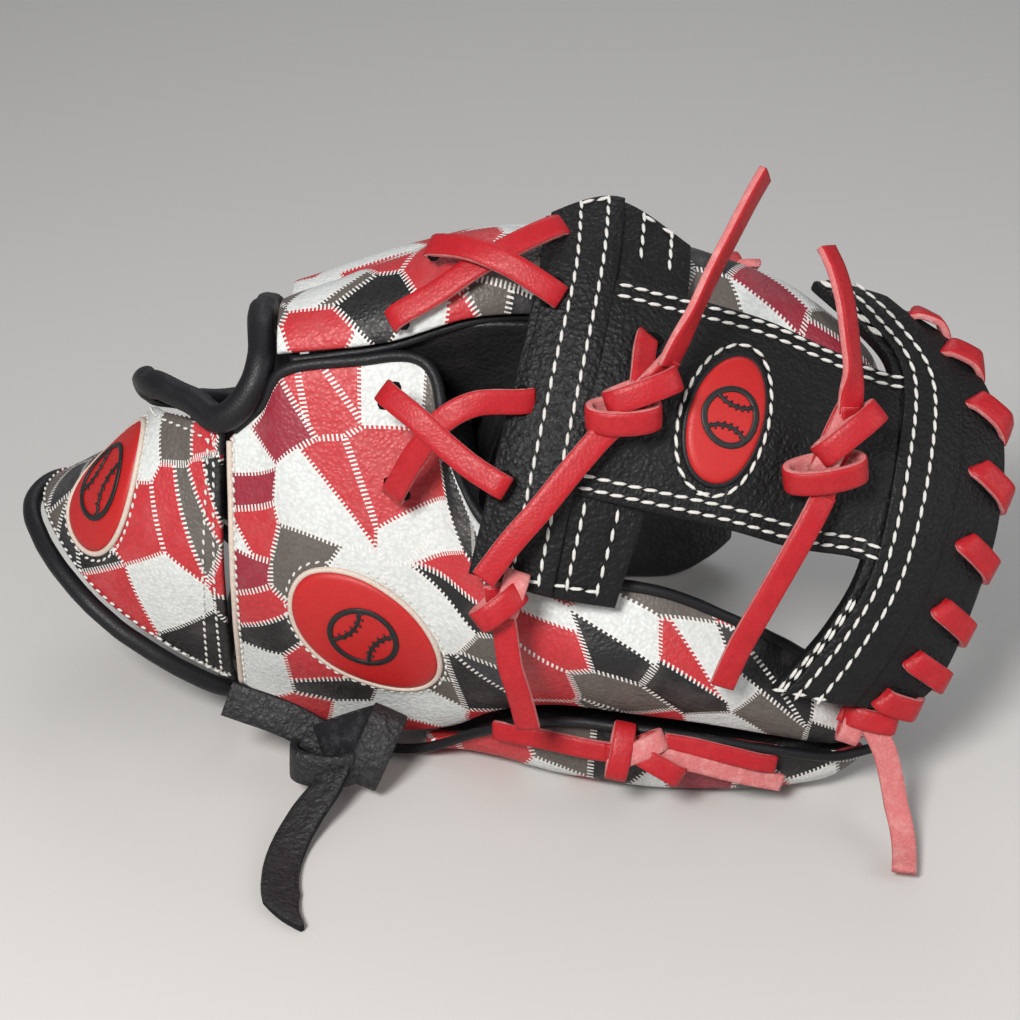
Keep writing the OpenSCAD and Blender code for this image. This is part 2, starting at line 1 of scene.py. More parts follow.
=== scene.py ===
# %% [markdown]
# A fielding glove is a set of leather panels sewn edge to edge and laced together.
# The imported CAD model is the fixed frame: it says where every panel, lace and knot
# sits and which body it moves with. This script gives each of them its real surface,
# and leaves every position where the frame has it.

# %% Load the frame
import math

import bpy
import bmesh
import numpy as np
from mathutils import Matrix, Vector, noise


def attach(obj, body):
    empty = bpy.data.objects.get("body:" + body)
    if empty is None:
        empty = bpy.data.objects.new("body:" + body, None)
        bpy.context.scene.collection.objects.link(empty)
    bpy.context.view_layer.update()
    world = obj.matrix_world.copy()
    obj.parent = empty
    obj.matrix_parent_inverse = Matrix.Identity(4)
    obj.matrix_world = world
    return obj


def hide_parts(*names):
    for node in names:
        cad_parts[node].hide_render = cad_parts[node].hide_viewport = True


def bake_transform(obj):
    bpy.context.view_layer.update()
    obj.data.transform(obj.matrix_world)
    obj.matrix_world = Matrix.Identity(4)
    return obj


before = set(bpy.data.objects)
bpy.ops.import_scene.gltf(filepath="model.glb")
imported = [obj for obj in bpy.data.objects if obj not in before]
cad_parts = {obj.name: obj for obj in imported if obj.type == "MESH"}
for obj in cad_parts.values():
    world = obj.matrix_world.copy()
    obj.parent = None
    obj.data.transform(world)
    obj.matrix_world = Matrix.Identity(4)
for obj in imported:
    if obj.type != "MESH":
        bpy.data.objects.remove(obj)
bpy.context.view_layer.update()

# %% [markdown]
# The camera comes first. It looks a little down on the thumb's side of the glove, from
# just over half a metre away, as a person who takes the glove off a table sees it.
# A long lens keeps the near web from looking too big against the far fingers.

# %% Camera
MM = 0.001
SHIFT = np.array([4.0, -3.83, 1.05])      # from the drawing's zero to the frame's
CAMERA_REACH = 0.560                      # metres
CAMERA_TILT = math.radians(30)
CAMERA_LENS = 74.96                       # millimetres
LOOK_AT = Vector((SHIFT + [0, 0, 54]) * MM)

camera_data = bpy.data.cameras.new("camera")
camera_data.lens = CAMERA_LENS
camera_data.sensor_width = 36
camera_data.clip_start = 0.01
camera = bpy.data.objects.new("camera", camera_data)
bpy.context.scene.collection.objects.link(camera)
camera.location = LOOK_AT + CAMERA_REACH * Vector((0, -math.cos(CAMERA_TILT), math.sin(CAMERA_TILT)))
camera.rotation_euler = (LOOK_AT - camera.location).to_track_quat("-Z", "Y").to_euler()
bpy.context.scene.camera = camera
print("camera at", tuple(round(x, 3) for x in camera.location))

# %% [markdown]
# Every shape below is in millimetres in the drawing's own zero, and becomes metres in
# the frame when its mesh is made. A smooth curve through a few chosen points is enough
# for a lace. A net of such curves is enough for a panel, because leather that is sewn
# along its edges takes up one smooth surface between them.

# %% Curves and nets
def spline(points, t):
    """Points of a smooth curve, or of a row of curves, at t = 0..1."""
    p = np.asarray(points, float)
    n = len(p)
    s = np.asarray(t, float) * (n - 1)
    i = np.clip(np.floor(s).astype(int), 0, n - 2)
    f = (s - i).reshape(s.shape + (1,) * (p.ndim - 1))
    a, b, c, d = p[np.maximum(i - 1, 0)], p[i], p[i + 1], p[np.minimum(i + 2, n - 1)]
    return 0.5 * (2 * b + (c - a) * f + (2 * a - 5 * b + 4 * c - d) * f**2 + (3 * b - a - 3 * c + d) * f**3)


def on(net, u, v):
    """Points of a net. v runs across its rows and u along them."""
    u, v = np.broadcast_arrays(np.asarray(u, float), np.asarray(v, float))
    rows = spline(np.asarray(net, float).transpose(1, 0, 2), u.ravel())
    n = rows.shape[1]
    s = v.ravel() * (n - 1)
    i = np.clip(np.floor(s).astype(int), 0, n - 2)
    f, k = (s - i)[:, None], np.arange(len(s))
    a, b, c, d = rows[k, np.maximum(i - 1,
                                    0)], rows[k, i], rows[k, i + 1], rows[k, np.minimum(i + 2, n - 1)]
    p = 0.5 * (2 * b + (c - a) * f + (2 * a - 5 * b + 4 * c - d) * f**2 + (3 * b - a - 3 * c + d) * f**3)
    return p.reshape(u.shape + (3,))


def unit(v):
    v = np.asarray(v, float)
    return v / np.maximum(np.linalg.norm(v, axis=-1, keepdims=True), 1e-9)


def facing(net, u, v, nudge=0.01):
    """The way the net's outer face looks."""
    u, v = np.asarray(u, float), np.asarray(v, float)
    along_u = on(net, np.minimum(1, u + nudge), v) - on(net, np.maximum(0, u - nudge), v)
    along_v = on(net, u, np.minimum(1, v + nudge)) - on(net, u, np.maximum(0, v - nudge))
    return unit(np.cross(along_u, along_v))


def lifted(net, u, v, height):
    """Points that stand off a net by a height."""
    return on(net, u, v) + facing(net, u, v) * np.asarray(height, float)[..., None]


def length_of(points):
    return float(np.linalg.norm(np.diff(points, axis=0), axis=1).sum())


print("a straight curve's middle", spline([[0, 0, 0], [10, 0, 0], [20, 0, 0]], 0.5))

# %% [markdown]
# These are the panels' nets. They have the same points as the CAD model's, but for the
# post, which has one row more so that its end can dip under the top bar's facing. A row
# runs from the wrist to the fingertips, or from the web's top to its bottom.

# %% The nets of the strap, the thumb and the little finger
STRAP = [
    [[-71.5, -24.5, 89.5], [-78, -19, 90], [-87, -11, 89], [-91, 1, 84.5], [-92.5, 14, 77],
     [-91, 28, 68], [-86, 39, 61], [-79, 48, 57], [-72, 52.5, 57]],
    [[-72, -33, 52], [-85, -30, 59], [-99, -20, 66], [-106, -3, 68], [-108, 14, 64],
     [-106, 31, 57], [-99, 46, 49], [-85, 54, 42], [-73, 55, 37]],
    [[-73, -22, 14], [-90, -24, 27], [-108, -18, 40], [-121, -2, 49], [-126, 14, 52],
     [-121, 30, 50], [-108, 44, 40], [-90, 49, 27], [-74, 48, 14]]]
THUMB = [
    [[-71, -22, 14], [-60, -26, 9], [-45, -29, 5.5], [-28, -31.5, 5], [-15, -35, 9], [-3, -42, 19],
     [12, -48, 25], [30, -54, 26.5], [48, -56, 25], [65, -55, 21], [80, -53, 17], [90, -50, 17]],
    [[-69.5, -33, 52], [-60, -37, 52], [-49, -40.5, 54], [-33, -44, 55], [-18, -47, 54], [-8, -52, 52],
     [5, -57, 48], [22, -60.5, 46.5], [42, -61.5, 43.5], [63, -60, 36], [79, -57, 28], [90.5, -51, 21]],
    [[-69, -24.5, 88.5], [-61, -24, 96], [-55, -24, 105.5], [-38, -24.5, 108.5], [-21, -24.5, 108.5],
     [-16, -34, 95], [-8, -43, 77], [10, -51, 65.5], [36, -53, 61], [60, -53, 50], [78, -52, 38],
     [89.5, -49.5, 25]]]
THUMB_FRONT = [
    [[-22, -34, 4], [-3, -40, 13], [12, -46, 20], [30, -51, 22], [48, -53, 20.5], [65, -52.5, 17],
     [80, -51, 13.5], [89, -48, 14]],
    [[-22, -30, 3], [-3, -38, 5], [12, -44, 4.5], [30, -50, 5], [48, -51.5, 4.7], [65, -51, 4.6],
     [80, -49, 6.4], [88.5, -46, 11]],
    [[-22, -20, 3], [-3, -27, 4.5], [12, -31, 4.5], [30, -35, 5], [48, -37, 4.7], [65, -37, 4.6],
     [80, -38.5, 7], [88.5, -42, 12]],
    [[-18, -17, 22], [-4, -25, 28], [12, -31, 28], [30, -36, 28], [48, -38, 26], [65, -38, 22],
     [80, -39, 16], [88.5, -42.5, 15]],
    [[-12, -22, 50], [-4, -31, 58], [10, -38, 58], [30, -41, 54], [48, -42.5, 49], [63, -43, 41],
     [78, -43, 31], [88.5, -44, 20]]]
LITTLE = [
    [[-70, 53.5, 57], [-54, 60, 66], [-30, 66.5, 69], [-5, 72.5, 66.5], [18, 75.5, 62], [38, 75.5, 54.5],
     [55, 71.5, 43], [67, 66, 27]],
    [[-70, 55, 44], [-48, 64, 43], [-22, 71, 41], [5, 76, 38], [30, 79, 34], [47, 78, 29], [60, 72, 23],
     [68, 65, 19]],
    [[-71, 48, 13], [-45, 54, 6], [-18, 60, 4.5], [8, 65, 4], [32, 69, 4], [48, 69, 4], [60, 66, 7],
     [67, 63, 14]]]
LITTLE_FRONT = [
    [[-14, 58, 0.8], [8, 62, 0.4], [32, 66, 0.4], [48, 66, 0.7], [60, 63, 4.5], [66.5, 60, 11]],
    [[-14, 46, 1.5], [8, 49, 1], [32, 53, 1], [48, 54, 1.5], [59, 55, 7], [66, 57, 12]],
    [[-10, 50, 26], [8, 54, 26], [32, 58, 24], [48, 58, 21], [59, 58, 17], [66, 58.5, 16]],
    [[-6, 55, 50], [10, 59, 48], [32, 63, 44], [47, 64, 36], [58, 63, 28], [66, 61, 21]]]
print("the strap is", round(length_of(STRAP[1])), "mm round the wrist")

# %% [markdown]
# The palm is a dished sheet, so a few stations along it and one rule for the dish are
# enough. A finger stall is half a tube on a bent line, and its net comes from the line's
# points, the finger's half width and its half depth. The two halves meet at the welts.

# %% The nets of the palm and the finger stalls
# A station: x, height, the y of both edges, and how far the far edge drops.
PALM_STATIONS = [(-74.5, 14, -12, 42, 0), (-60, 8, 2, 36, 0), (-40, 6, 2, 36, 0), (-23, 11, 1, 36, 0),
                 (-13, 34, 1, 38, 2), (-9, 56, -4, 42, 6), (-4, 78, -12, 47, 17), (1, 96, -17, 50, 30)]
PALM_DISH = [0, 0, 0, 2, 6, 7, 5, 2]
PALM = [[[s[0] - 4 * w * (1 - w) * dish, s[2] + (s[3] - s[2]) * w, s[1] - s[4] * w * w]
         for s, dish in zip(PALM_STATIONS, PALM_DISH)] for w in (1, 0.75, 0.5, 0.25, 0)]

# A stall's line: x, y, z, scale, and how far its width is tilted.
INDEX = [(-56, -7, 103, 1, 18), (-30, -6.5, 111.5, 1.02, 0), (-7, -4.8, 119, 1.03, -4),
         (20, -0.5, 116.5, 0.95, -4), (44, 0.5, 113, 0.95, -2), (66, 0, 105.5, 0.9, 0),
         (80, -1, 98.5, 0.74, 4), (88, -2, 94, 0.5, 6), (91, -2.5, 91.5, 0.24, 6)]
MIDDLE = [(-56, 23.5, 93, 0.95, 24), (-30, 27, 99.5, 1, 24), (-4, 29.5, 104.5, 1.04, 24),
          (20, 32, 103, 1.04, 25), (44, 33.5, 97.5, 1.02, 26), (68, 33, 88.5, 0.96, 27),
          (86, 31.5, 77, 0.8, 28), (97, 30, 67, 0.5, 28), (100.5, 29.5, 63, 0.24, 28)]
RING = [(-56.5, 45, 78, 0.86, 42), (-30, 52.5, 82, 0.96, 46), (-4, 57, 83, 1, 46), (20, 59.5, 80, 1, 47),
        (42, 60.5, 73, 0.98, 48), (62, 59.5, 64, 0.94, 50), (78, 57.5, 53, 0.78, 50), (87, 56, 45, 0.5, 50),
        (90, 55.5, 41.5, 0.24, 50)]
SEAM_ANGLE = 9


def stall_net(line, half_width, half_depth, start, end, rows=8):
    net = []
    for j in range(rows + 1):
        w = math.radians(start + (end - start) * j / rows)
        row = []
        for x, y, z, scale, tilt in line:
            across, up = half_width * scale * math.cos(w), half_depth * scale * math.sin(w)
            turn = math.radians(tilt)
            row.append([x, y + across * math.cos(turn) + up * math.sin(turn),
                        z - across * math.sin(turn) + up * math.cos(turn)])
        net.append(row)
    return net


print("a stall's net has", len(stall_net(INDEX, 15.5, 11, 0, 180)), "rows")

# %% [markdown]
# The web's nets are listed point by point, because its straps twist. Each bar runs across the
# pocket, and the post joins their middles, so its two end rows are points on the bars.

# %% The nets of the web, and how thick each layer is
BASE_BAR = [
    [[8, -2, 137], [6.3, -22, 129.5], [0.5, -37.5, 110.5], [-4.5, -50, 92], [-10, -58, 70]],
    [[26, 0, 141.5], [24, -18.5, 133], [19, -39.5, 114.5], [13, -55, 91], [8, -62, 66]],
    [[44.5, -3, 130.5], [43, -18, 126], [38, -39, 108.5], [32, -54.5, 86], [25, -61, 62]]]
TOP_BAR = [
    [[76, 2.5, 119], [85, -9, 114], [93, -21, 105.5], [89.3, -42, 91.5], [83.8, -56.5, 71.5],
     [75.5, -62, 57],
     [63, -65, 41]],
    [[92, 2.5, 114.5], [101, -8, 109], [108, -22, 99], [105, -41, 83.5], [98, -54, 65], [89, -61.5, 50],
     [80, -65, 37]],
    [[103.5, 2, 108], [114, -7, 103], [121, -24, 90.5], [119.5, -38, 72], [113, -48, 52], [105.5, -56, 38],
     [97, -60, 31.5]]]
# The post is sewn in under the facings of both bars, so its two ends lie low.
POST = [[lifted(BASE_BAR, u, v, h) for u in (0.30, 0.525, 0.755)] for v,
        h in ((0.40, 0.4), (0.58, 1.2), (0.78, 2.0))]
POST += [[[60, -20.5, 119.5], [56, -41.5, 103.5], [50, -57, 82]],
         [[76, -20.8, 112], [72, -41.5, 97.3], [67, -56, 76]],
         [[90, -20.8, 105.6], [86.5, -41.7, 92.2], [81.5, -55.2, 73]],
         [lifted(TOP_BAR, u, 0.12, 0.5) for u in (0.333, 0.5, 0.667)]]
SHELL_T, LINING_T, BOARD_T, PAD_T, PATCH_T = 2.6, 1.2, 2.5, 3.0, 1.2
BASE_BAR_T, POST_T, TOP_BAR_T = 3.0, 2.2, 3.6
BASE_FACING_T, TOP_FACING_T = 1.3, 1.2
FOLD_T, PALM_TOP_T = 1.6, 1.8
GAP = 0.3                                 # between one layer and the next
print("post net", len(POST), "rows")

# %% [markdown]
# A panel is a thin closed sheet. Its grid is even in millimetres, with extra lines close
# to the border, so the cut edge comes out rounded as skived leather does. The middle
# stands a little proud of the sewn border and has slow wrinkles. Each point keeps its
# place on the flat leather in metres as its UV, which the printed pattern reads.

# %% Make a mesh
def build(name, points, faces, uvs=None, materials=(), face_materials=None):
    mesh = bpy.data.meshes.new(name)
    mesh.from_pydata((np.asarray(points) * MM).tolist(), [], [list(map(int, f)) for f in faces])
    for material in materials:
        mesh.materials.append(material)
    if face_materials is not None:
        mesh.polygons.foreach_set("material_index", np.asarray(face_materials, dtype=np.int32))
    if uvs is not None:
        layer = mesh.uv_layers.new(name="metres")
        corner = np.empty(len(mesh.loops), dtype=np.int32)
        mesh.loops.foreach_get("vertex_index", corner)
        layer.data.foreach_set("uv", (np.asarray(uvs)[corner] * MM).astype(np.float32).ravel())
    mesh.polygons.foreach_set("use_smooth", np.ones(len(mesh.polygons), dtype=bool))
    mesh.validate()
    mesh.update()
    obj = bpy.data.objects.new(name, mesh)
    bpy.context.scene.collection.objects.link(obj)
    return obj


FINE = 241                                # points that measure a curve before it is divided


def steps_between(length, cell, edge):
    """Distances from one border to the other, closer together at the rounded borders."""
    inner = np.linspace(edge, length - edge, max(2, int(round((length - 2 * edge) / cell))))
    rounding = edge * np.array([0, 0.12, 0.4])
    return np.concatenate([rounding, inner, length - rounding[::-1]])


def rumple(points, size, seed):
    """Slow random heights, the same in every run."""
    return np.array([noise.noise(Vector(p) / size + Vector((seed, 3.7 * seed, 1.3))) for p in points])


def sheet(name, net, t, lift=0.0, u=(0, 1), v=(0, 1), cell=1.7, puff=0.5, wrinkle=0.35, seed=1.0, edge=None,
          shift=(0, 0), materials=()):
    """A panel of thickness t on a net. shift slides the printed pattern over it."""
    net = np.asarray(net, float)
    edge = min(0.9, 0.45 * t) if edge is None else edge
    fine = np.linspace(0, 1, FINE)
    uu, vv = u[0] + (u[1] - u[0]) * fine, v[0] + (v[1] - v[0]) * fine
    mid_row, mid_col = on(net, uu, np.full(FINE, np.mean(v))), on(net, np.full(FINE, np.mean(u)), vv)
    arc_u = np.concatenate([[0], np.cumsum(np.linalg.norm(np.diff(mid_row, axis=0), axis=1))])
    arc_v = np.concatenate([[0], np.cumsum(np.linalg.norm(np.diff(mid_col, axis=0), axis=1))])
    du, dv = steps_between(arc_u[-1], cell, edge), steps_between(arc_v[-1], cell, edge)
    us, vs = np.interp(du, arc_u, uu), np.interp(dv, arc_v, vv)
    U, V = np.meshgrid(us, vs)
    base, normal = on(net, U, V), facing(net, U, V)
    from_border = np.minimum(np.minimum(du, arc_u[-1] - du)[None, :],
                             np.minimum(dv, arc_v[-1] - dv)[:, None])
    drop = edge * (1 - np.sqrt(np.clip(1 - (1 - np.minimum(from_border / edge, 1)) ** 2, 0, 1)))
    proud = puff * (1 - np.exp(-from_border / 4))
    if wrinkle:
        flat = base.reshape(-1, 3)
        folds = rumple(flat, 17, seed) + 0.45 * rumple(flat, 7, seed + 5)
        proud = proud + wrinkle * folds.reshape(U.shape) * np.minimum(from_border / 5, 1)
    outer = base + normal * (lift + proud - drop)[..., None]
    inner = base + normal * (lift + proud - t + drop)[..., None]
    nv, nu = U.shape
    index = np.arange(nv * nu).reshape(nv, nu)
    a, b = index[:-1, :-1].ravel(), index[:-1, 1:].ravel()
    c, d = index[1:, 1:].ravel(), index[1:, :-1].ravel()
    n = nv * nu
    faces = [np.stack([a, b, c, d], 1), np.stack([a, d, c, b], 1) + n]
    ring = np.concatenate([index[0, :-1], index[:-1, -1], index[-1, :0:-1], index[:0:-1, 0]])
    after = np.roll(ring, -1)
    faces.append(np.stack([after, ring, ring + n, after + n], 1))
    along_columns = np.cumsum(np.linalg.norm(np.diff(base, axis=0), axis=2), axis=0)
    across = np.concatenate([np.zeros((1, nu)), along_columns])
    across = across - across[nv // 2]
    flat_uv = np.stack([np.broadcast_to(du, U.shape) + shift[0], across + shift[1]], -1).reshape(-1, 2)
    points = np.concatenate([outer.reshape(-1, 3), inner.reshape(-1, 3)]) + SHIFT
    return build(name, points, np.concatenate(faces), np.concatenate([flat_uv, flat_uv]), materials)


print("a 20 mm side is cut at", np.round(steps_between(20, 4, 0.9), 2))

# %% [markdown]
# Laces, welts and rolls are sections carried along a route. A lace is a flat strip cut
# from dyed hide, so only its face is smooth and deep red, and its sides and back are
# pale and rough. The section turns with the route's own list of directions, which is
# what lets a lace twist, lie flat on leather or wrap over an edge.

# %% Sweep a section along a route
def disc(radius, n=16):
    a = np.arange(n) * 2 * math.pi / n
    return np.stack([radius * np.cos(a), radius * np.sin(a)], 1)


def strip(width, t, corner=0.3):
    """Section of a flat lace. Its first six sides are the smooth face."""
    x, y, r = width / 2, t / 2, corner
    half = [(x - r * 0.3, y - r), (x - r, y), (x / 2, y + 0.06), (0, y + 0.1), (-x / 2, y + 0.06),
            (-x + r, y), (-x + r * 0.3, y - r), (-x, 0), (-x + r * 0.3, -y + r), (-x + r, -y), (-x / 2, -y),
            (0, -y), (x / 2, -y), (x - r, -y), (x - r * 0.3, -y + r), (x, 0)]
    return np.array(half)


def sweep(name, route, section, ups, step=1.0, closed=False, materials=(), face_of=None, ends=(1, 1),
          end_reach=3.0, wander=0.0, seed=2.0):
    """A section carried along a route. ups are the ways that its face looks."""
    route = np.asarray(route, float)
    ups = np.asarray(ups, float)
    if ups.ndim == 1:
        ups = np.tile(ups, (len(route), 1))
    if closed:
        route = np.concatenate([route[-2:-1], route, route[1:2]])
        ups = np.concatenate([ups[-2:-1], ups, ups[1:2]])
        lo, hi = 1 / (len(route) - 1), 1 - 1 / (len(route) - 1)
    else:
        lo, hi = 0.0, 1.0
    fine = np.linspace(lo, hi, 400)
    line = spline(route, fine)
    arc = np.concatenate([[0], np.cumsum(np.linalg.norm(np.diff(line, axis=0), axis=1))])
    count = max(4, int(round(arc[-1] / step)))
    at = np.interp(np.linspace(0, arc[-1], count + 1), arc, fine)
    if closed:
        at = at[:-1]
    p, up = spline(route, at), spline(ups, at)
    nudge = 0.003
    d = unit(spline(route, np.minimum(at + nudge, 1)) - spline(route, np.maximum(at - nudge, 0)))
    side = unit(np.cross(d, up))
    high = np.cross(side, d)
    run = np.interp(at, fine, arc)
    scale = np.ones(len(at))
    if not closed:
        scale = np.minimum(ends[0] + (1 - ends[0]) * np.minimum(run / end_reach, 1),
                           ends[1] + (1 - ends[1]) * np.minimum((arc[-1] - run) / end_reach, 1))
    if wander:
        rise, drift = rumple(p, 6, seed), rumple(p, 9, seed + 3)
        p = p + high * (wander * rise)[:, None] + side * (wander * drift)[:, None]
    section = np.asarray(section, float)
    n, m = len(section), len(at)
    across = side[:, None] * (section[None, :, :1] * scale[:, None, None])
    rings = p[:, None] + across + high[:, None] * section[None, :, 1:]
    points = rings.reshape(-1, 3) + SHIFT
    i, k = np.meshgrid(np.arange(m if closed else m - 1), np.arange(n), indexing="ij")
    next_i, next_k = (i + 1) % m, (k + 1) % n
    quads = np.stack([i * n + k, i * n + next_k, next_i * n + next_k, next_i * n + k], -1).reshape(-1, 4)
    faces = quads.tolist()
    marks = (face_of[k.ravel()] if face_of is not None else np.zeros(len(faces), int)).tolist()
    if not closed:
        faces += [list(range(n - 1, -1, -1)), [(m - 1) * n + q for q in range(n)]]
        marks += [1 if face_of is not None else 0] * 2
    around = np.concatenate([[0], np.cumsum(np.linalg.norm(np.diff(section, axis=0), axis=1))])
    uvs = np.stack([np.repeat(run, n), np.tile(around, m)], 1)
    return build(name, points, faces, uvs, materials, marks)


# Which faces of a lace's section take its first material, the smooth side, or its second
LACE_FACE = np.array([0, 0, 0, 0, 0, 0, 1, 1, 1, 1, 1, 1, 1, 1, 1, 1])


def join(name, parts):
    """One piece from several meshes with the same list of materials."""
    bm = bmesh.new()
    for part in parts:
        bm.from_mesh(part.data)
    mesh = parts[0].data.copy()
    mesh.name = name
    bm.to_mesh(mesh)
    bm.free()
    for part in parts:
        old = part.data
        bpy.data.objects.remove(part)
        bpy.data.meshes.remove(old)
    obj = bpy.data.objects.new(name, mesh)
    bpy.context.scene.collection.objects.link(obj)
    return obj


def oval(name, net, u, v, ru, rv, tilt, t, lift, dome=0.5, spokes=64, rings=12, materials=()):
    """A domed oval patch on a net."""
    k, a = np.meshgrid(np.linspace(0, 1, rings + 1)[1:], np.arange(spokes) * 2 * math.pi / spokes,
                       indexing="ij")
    rim = 0.5 * (1 - np.sqrt(np.clip(1 - np.clip((k - 0.93) / 0.07, 0, 1) ** 2, 0, 1)))
    pu, pv = oval_at(net, u, v, ru, rv, tilt, k.ravel(), a.ravel())
    height = (lift + dome * (1 - k**2) - rim).ravel()
    pu, pv = np.concatenate([[u], pu]), np.concatenate([[v], pv])
    top = lifted(net, pu, pv, np.concatenate([[lift + dome], height]))
    low = lifted(net, pu, pv, np.full(len(pu), lift - t))
    n = len(top)
    faces = []
    for i in range(spokes):
        j = (i + 1) % spokes
        faces += [[0, 1 + i, 1 + j], [n, n + 1 + j, n + 1 + i]]
        for r in range(rings - 1):
            inner, outer = 1 + r * spokes, 1 + (r + 1) * spokes
            a0, a1, b0, b1 = inner + i, inner + j, outer + i, outer + j
            faces += [[a0, b0, b1, a1], [n + a0, n + a1, n + b1, n + b0]]
        e0, e1 = 1 + (rings - 1) * spokes + i, 1 + (rings - 1) * spokes + j
        faces.append([e0, n + e0, n + e1, e1])
    points = np.concatenate([top, low]) + SHIFT
    return build(name, points, faces, points[:, :2], materials)


def oval_at(net, u, v, ru, rv, tilt, k, a):
    """Where points of an oval about u, v are: k is their share of the radius."""
    one = np.array([u]), np.array([v])
    du = np.linalg.norm(on(net, one[0] + 0.02, one[1]) - on(net, one[0] - 0.02, one[1])) / 0.04
    dv = np.linalg.norm(on(net, one[0], one[1] + 0.02) - on(net, one[0], one[1] - 0.02)) / 0.04
    turn = math.radians(tilt)
    x = k * (ru * np.cos(a) * math.cos(turn) - rv * np.sin(a) * math.sin(turn))
    y = k * (ru * np.cos(a) * math.sin(turn) + rv * np.sin(a) * math.cos(turn))
    return u + x / du, v + y / dv


print("a lace's section has", len(strip(6, 1.9)), "points")

# %% [markdown]
# Every finish is a tree of nodes built in the script. These few helpers keep the trees
# short: one makes a node and fills its inputs, and the rest are sums, vectors, mixes and
# groups made with it.

# %% Node helpers
def node(tree, kind, links=(), **settings):
    """A node with its settings, and its inputs linked or set."""
    n = tree.nodes.new(kind)
    for key, value in settings.items():
        setattr(n, key, value)
    for socket, source in links:
        target = n.inputs[socket]
        if isinstance(source, bpy.types.NodeSocket):
            tree.links.new(source, target)
        else:
            target.default_value = source
    return n


def maths(tree, what, a, b=None, c=None, clamp=False):
    values = [(i, x) for i, x in enumerate((a, b, c)) if x is not None]
    return node(tree, "ShaderNodeMath", values, operation=what, use_clamp=clamp).outputs[0]


def vector(tree, what, a, b=None, scale=None):
    links = [(socket, x) for socket, x in ((0, a), (1, b), ("Scale", scale)) if x is not None]
    n = node(tree, "ShaderNodeVectorMath", links, operation=what)
    return n.outputs["Value"] if what in ("DOT_PRODUCT", "LENGTH", "DISTANCE") else n.outputs["Vector"]


def mixed(tree, factor, a, b, blend="MIX"):
    """Two colours mixed. A Mix node has its colours in sockets 6 and 7, and out at 2."""
    return node(tree, "ShaderNodeMix", [(0, factor), (6, a), (7, b)], data_type="RGBA",
                blend_type=blend).outputs[2]


def group(name, inputs, outputs):
    tree = bpy.data.node_groups.new(name, "ShaderNodeTree")
    for label, kind, value in inputs:
        s = tree.interface.new_socket(label, in_out="INPUT", socket_type=kind)
        if value is not None:
            s.default_value = value
    for label, kind in outputs:
        tree.interface.new_socket(label, in_out="OUTPUT", socket_type=kind)
    return tree, tree.nodes.new("NodeGroupInput"), tree.nodes.new("NodeGroupOutput")


FLOAT, COLOUR, VECTOR = "NodeSocketFloat", "NodeSocketColor", "NodeSocketVector"
WHITE = (0.70, 0.73, 0.72, 1)
RED, CRIMSON = (0.52, 0.026, 0.034, 1), (0.30, 0.018, 0.038, 1)
TAUPE, CHARCOAL, BLACK = (0.115, 0.098, 0.086, 1), (0.030, 0.029, 0.033, 1), (0.0065, 0.0060, 0.0068, 1)
print("the print's red is", RED[:3])

# %% [markdown]
# Most of the glove is one printed leather: straight-sided scraps in white, reds, taupe
# and black that look whip-stitched together. The print is a Voronoi pattern on the flat
# leather, with most cells cut once more by a straight line, so that there are triangles
# and slivers among them. Short white ticks cross every line. Distances come in metres.

# %% The patchwork print
TICK_HALF_SHARE = 0.22                    # half of a tick's width, as a share of the pitch
CUT_SHARE, CUT_WANDER = 0.74, 0.35        # how many patches are cut, and how far off centre
INK_MOTTLE, INK_DULL = 0.22, (0.55, 0.53, 0.52, 1)
TICK_WHITE = (0.78, 0.77, 0.74, 1)
PRINT, given, made = group(
    "patchwork_print",
    [("Place", VECTOR, None), ("Patch size", FLOAT, 0.0185), ("Tick pitch", FLOAT, 0.00105),
     ("Tick length", FLOAT, 0.0017)],
    [("Color", COLOUR), ("Thread", FLOAT)])


def ticks(tree, along, across, on_line):
    share = maths(tree, "FRACT", maths(tree, "DIVIDE", along, given.outputs["Tick pitch"]))
    # measured from the pitch's middle, so both sides of a line agree on where a tick is
    from_middle = maths(tree, "ABSOLUTE", maths(tree, "SUBTRACT", share, 0.5))
    thin = maths(tree, "LESS_THAN", from_middle, TICK_HALF_SHARE)
    near = maths(tree, "LESS_THAN", across, maths(tree, "MULTIPLY", given.outputs["Tick length"], 0.5))
    return maths(tree, "MULTIPLY", maths(tree, "MULTIPLY", thin, near), on_line)


scale = maths(PRINT, "DIVIDE", 1.0, given.outputs["Patch size"])
first = node(PRINT, "ShaderNodeTexVoronoi", [("Vector", given.outputs["Place"]), ("Scale", scale)],
             voronoi_dimensions="2D", feature="F1")
second = node(PRINT, "ShaderNodeTexVoronoi", [("Vector", given.outputs["Place"]), ("Scale", scale)],
              voronoi_dimensions="2D", feature="F2")
flat_place = vector(PRINT, "MULTIPLY", given.outputs["Place"], (1, 1, 0))
p1, p2 = first.outputs["Position"], second.outputs["Position"]
way = vector(PRINT, "NORMALIZE", vector(PRINT, "SUBTRACT", p2, p1))
middle = vector(PRINT, "SCALE", vector(PRINT, "ADD", p1, p2), scale=0.5)
past_line = vector(PRINT, "SUBTRACT", flat_place, middle)
from_line = maths(PRINT, "ABSOLUTE", vector(PRINT, "DOT_PRODUCT", past_line, way))
parallel = vector(PRINT, "CROSS_PRODUCT", way, (0, 0, 1))
border = ticks(PRINT, vector(PRINT, "DOT_PRODUCT", flat_place, parallel), from_line, 1.0)
chance = node(PRINT, "ShaderNodeSeparateColor", [(0, first.outputs["Color"])])
angle = maths(PRINT, "MULTIPLY", chance.outputs[0], 2 * math.pi)
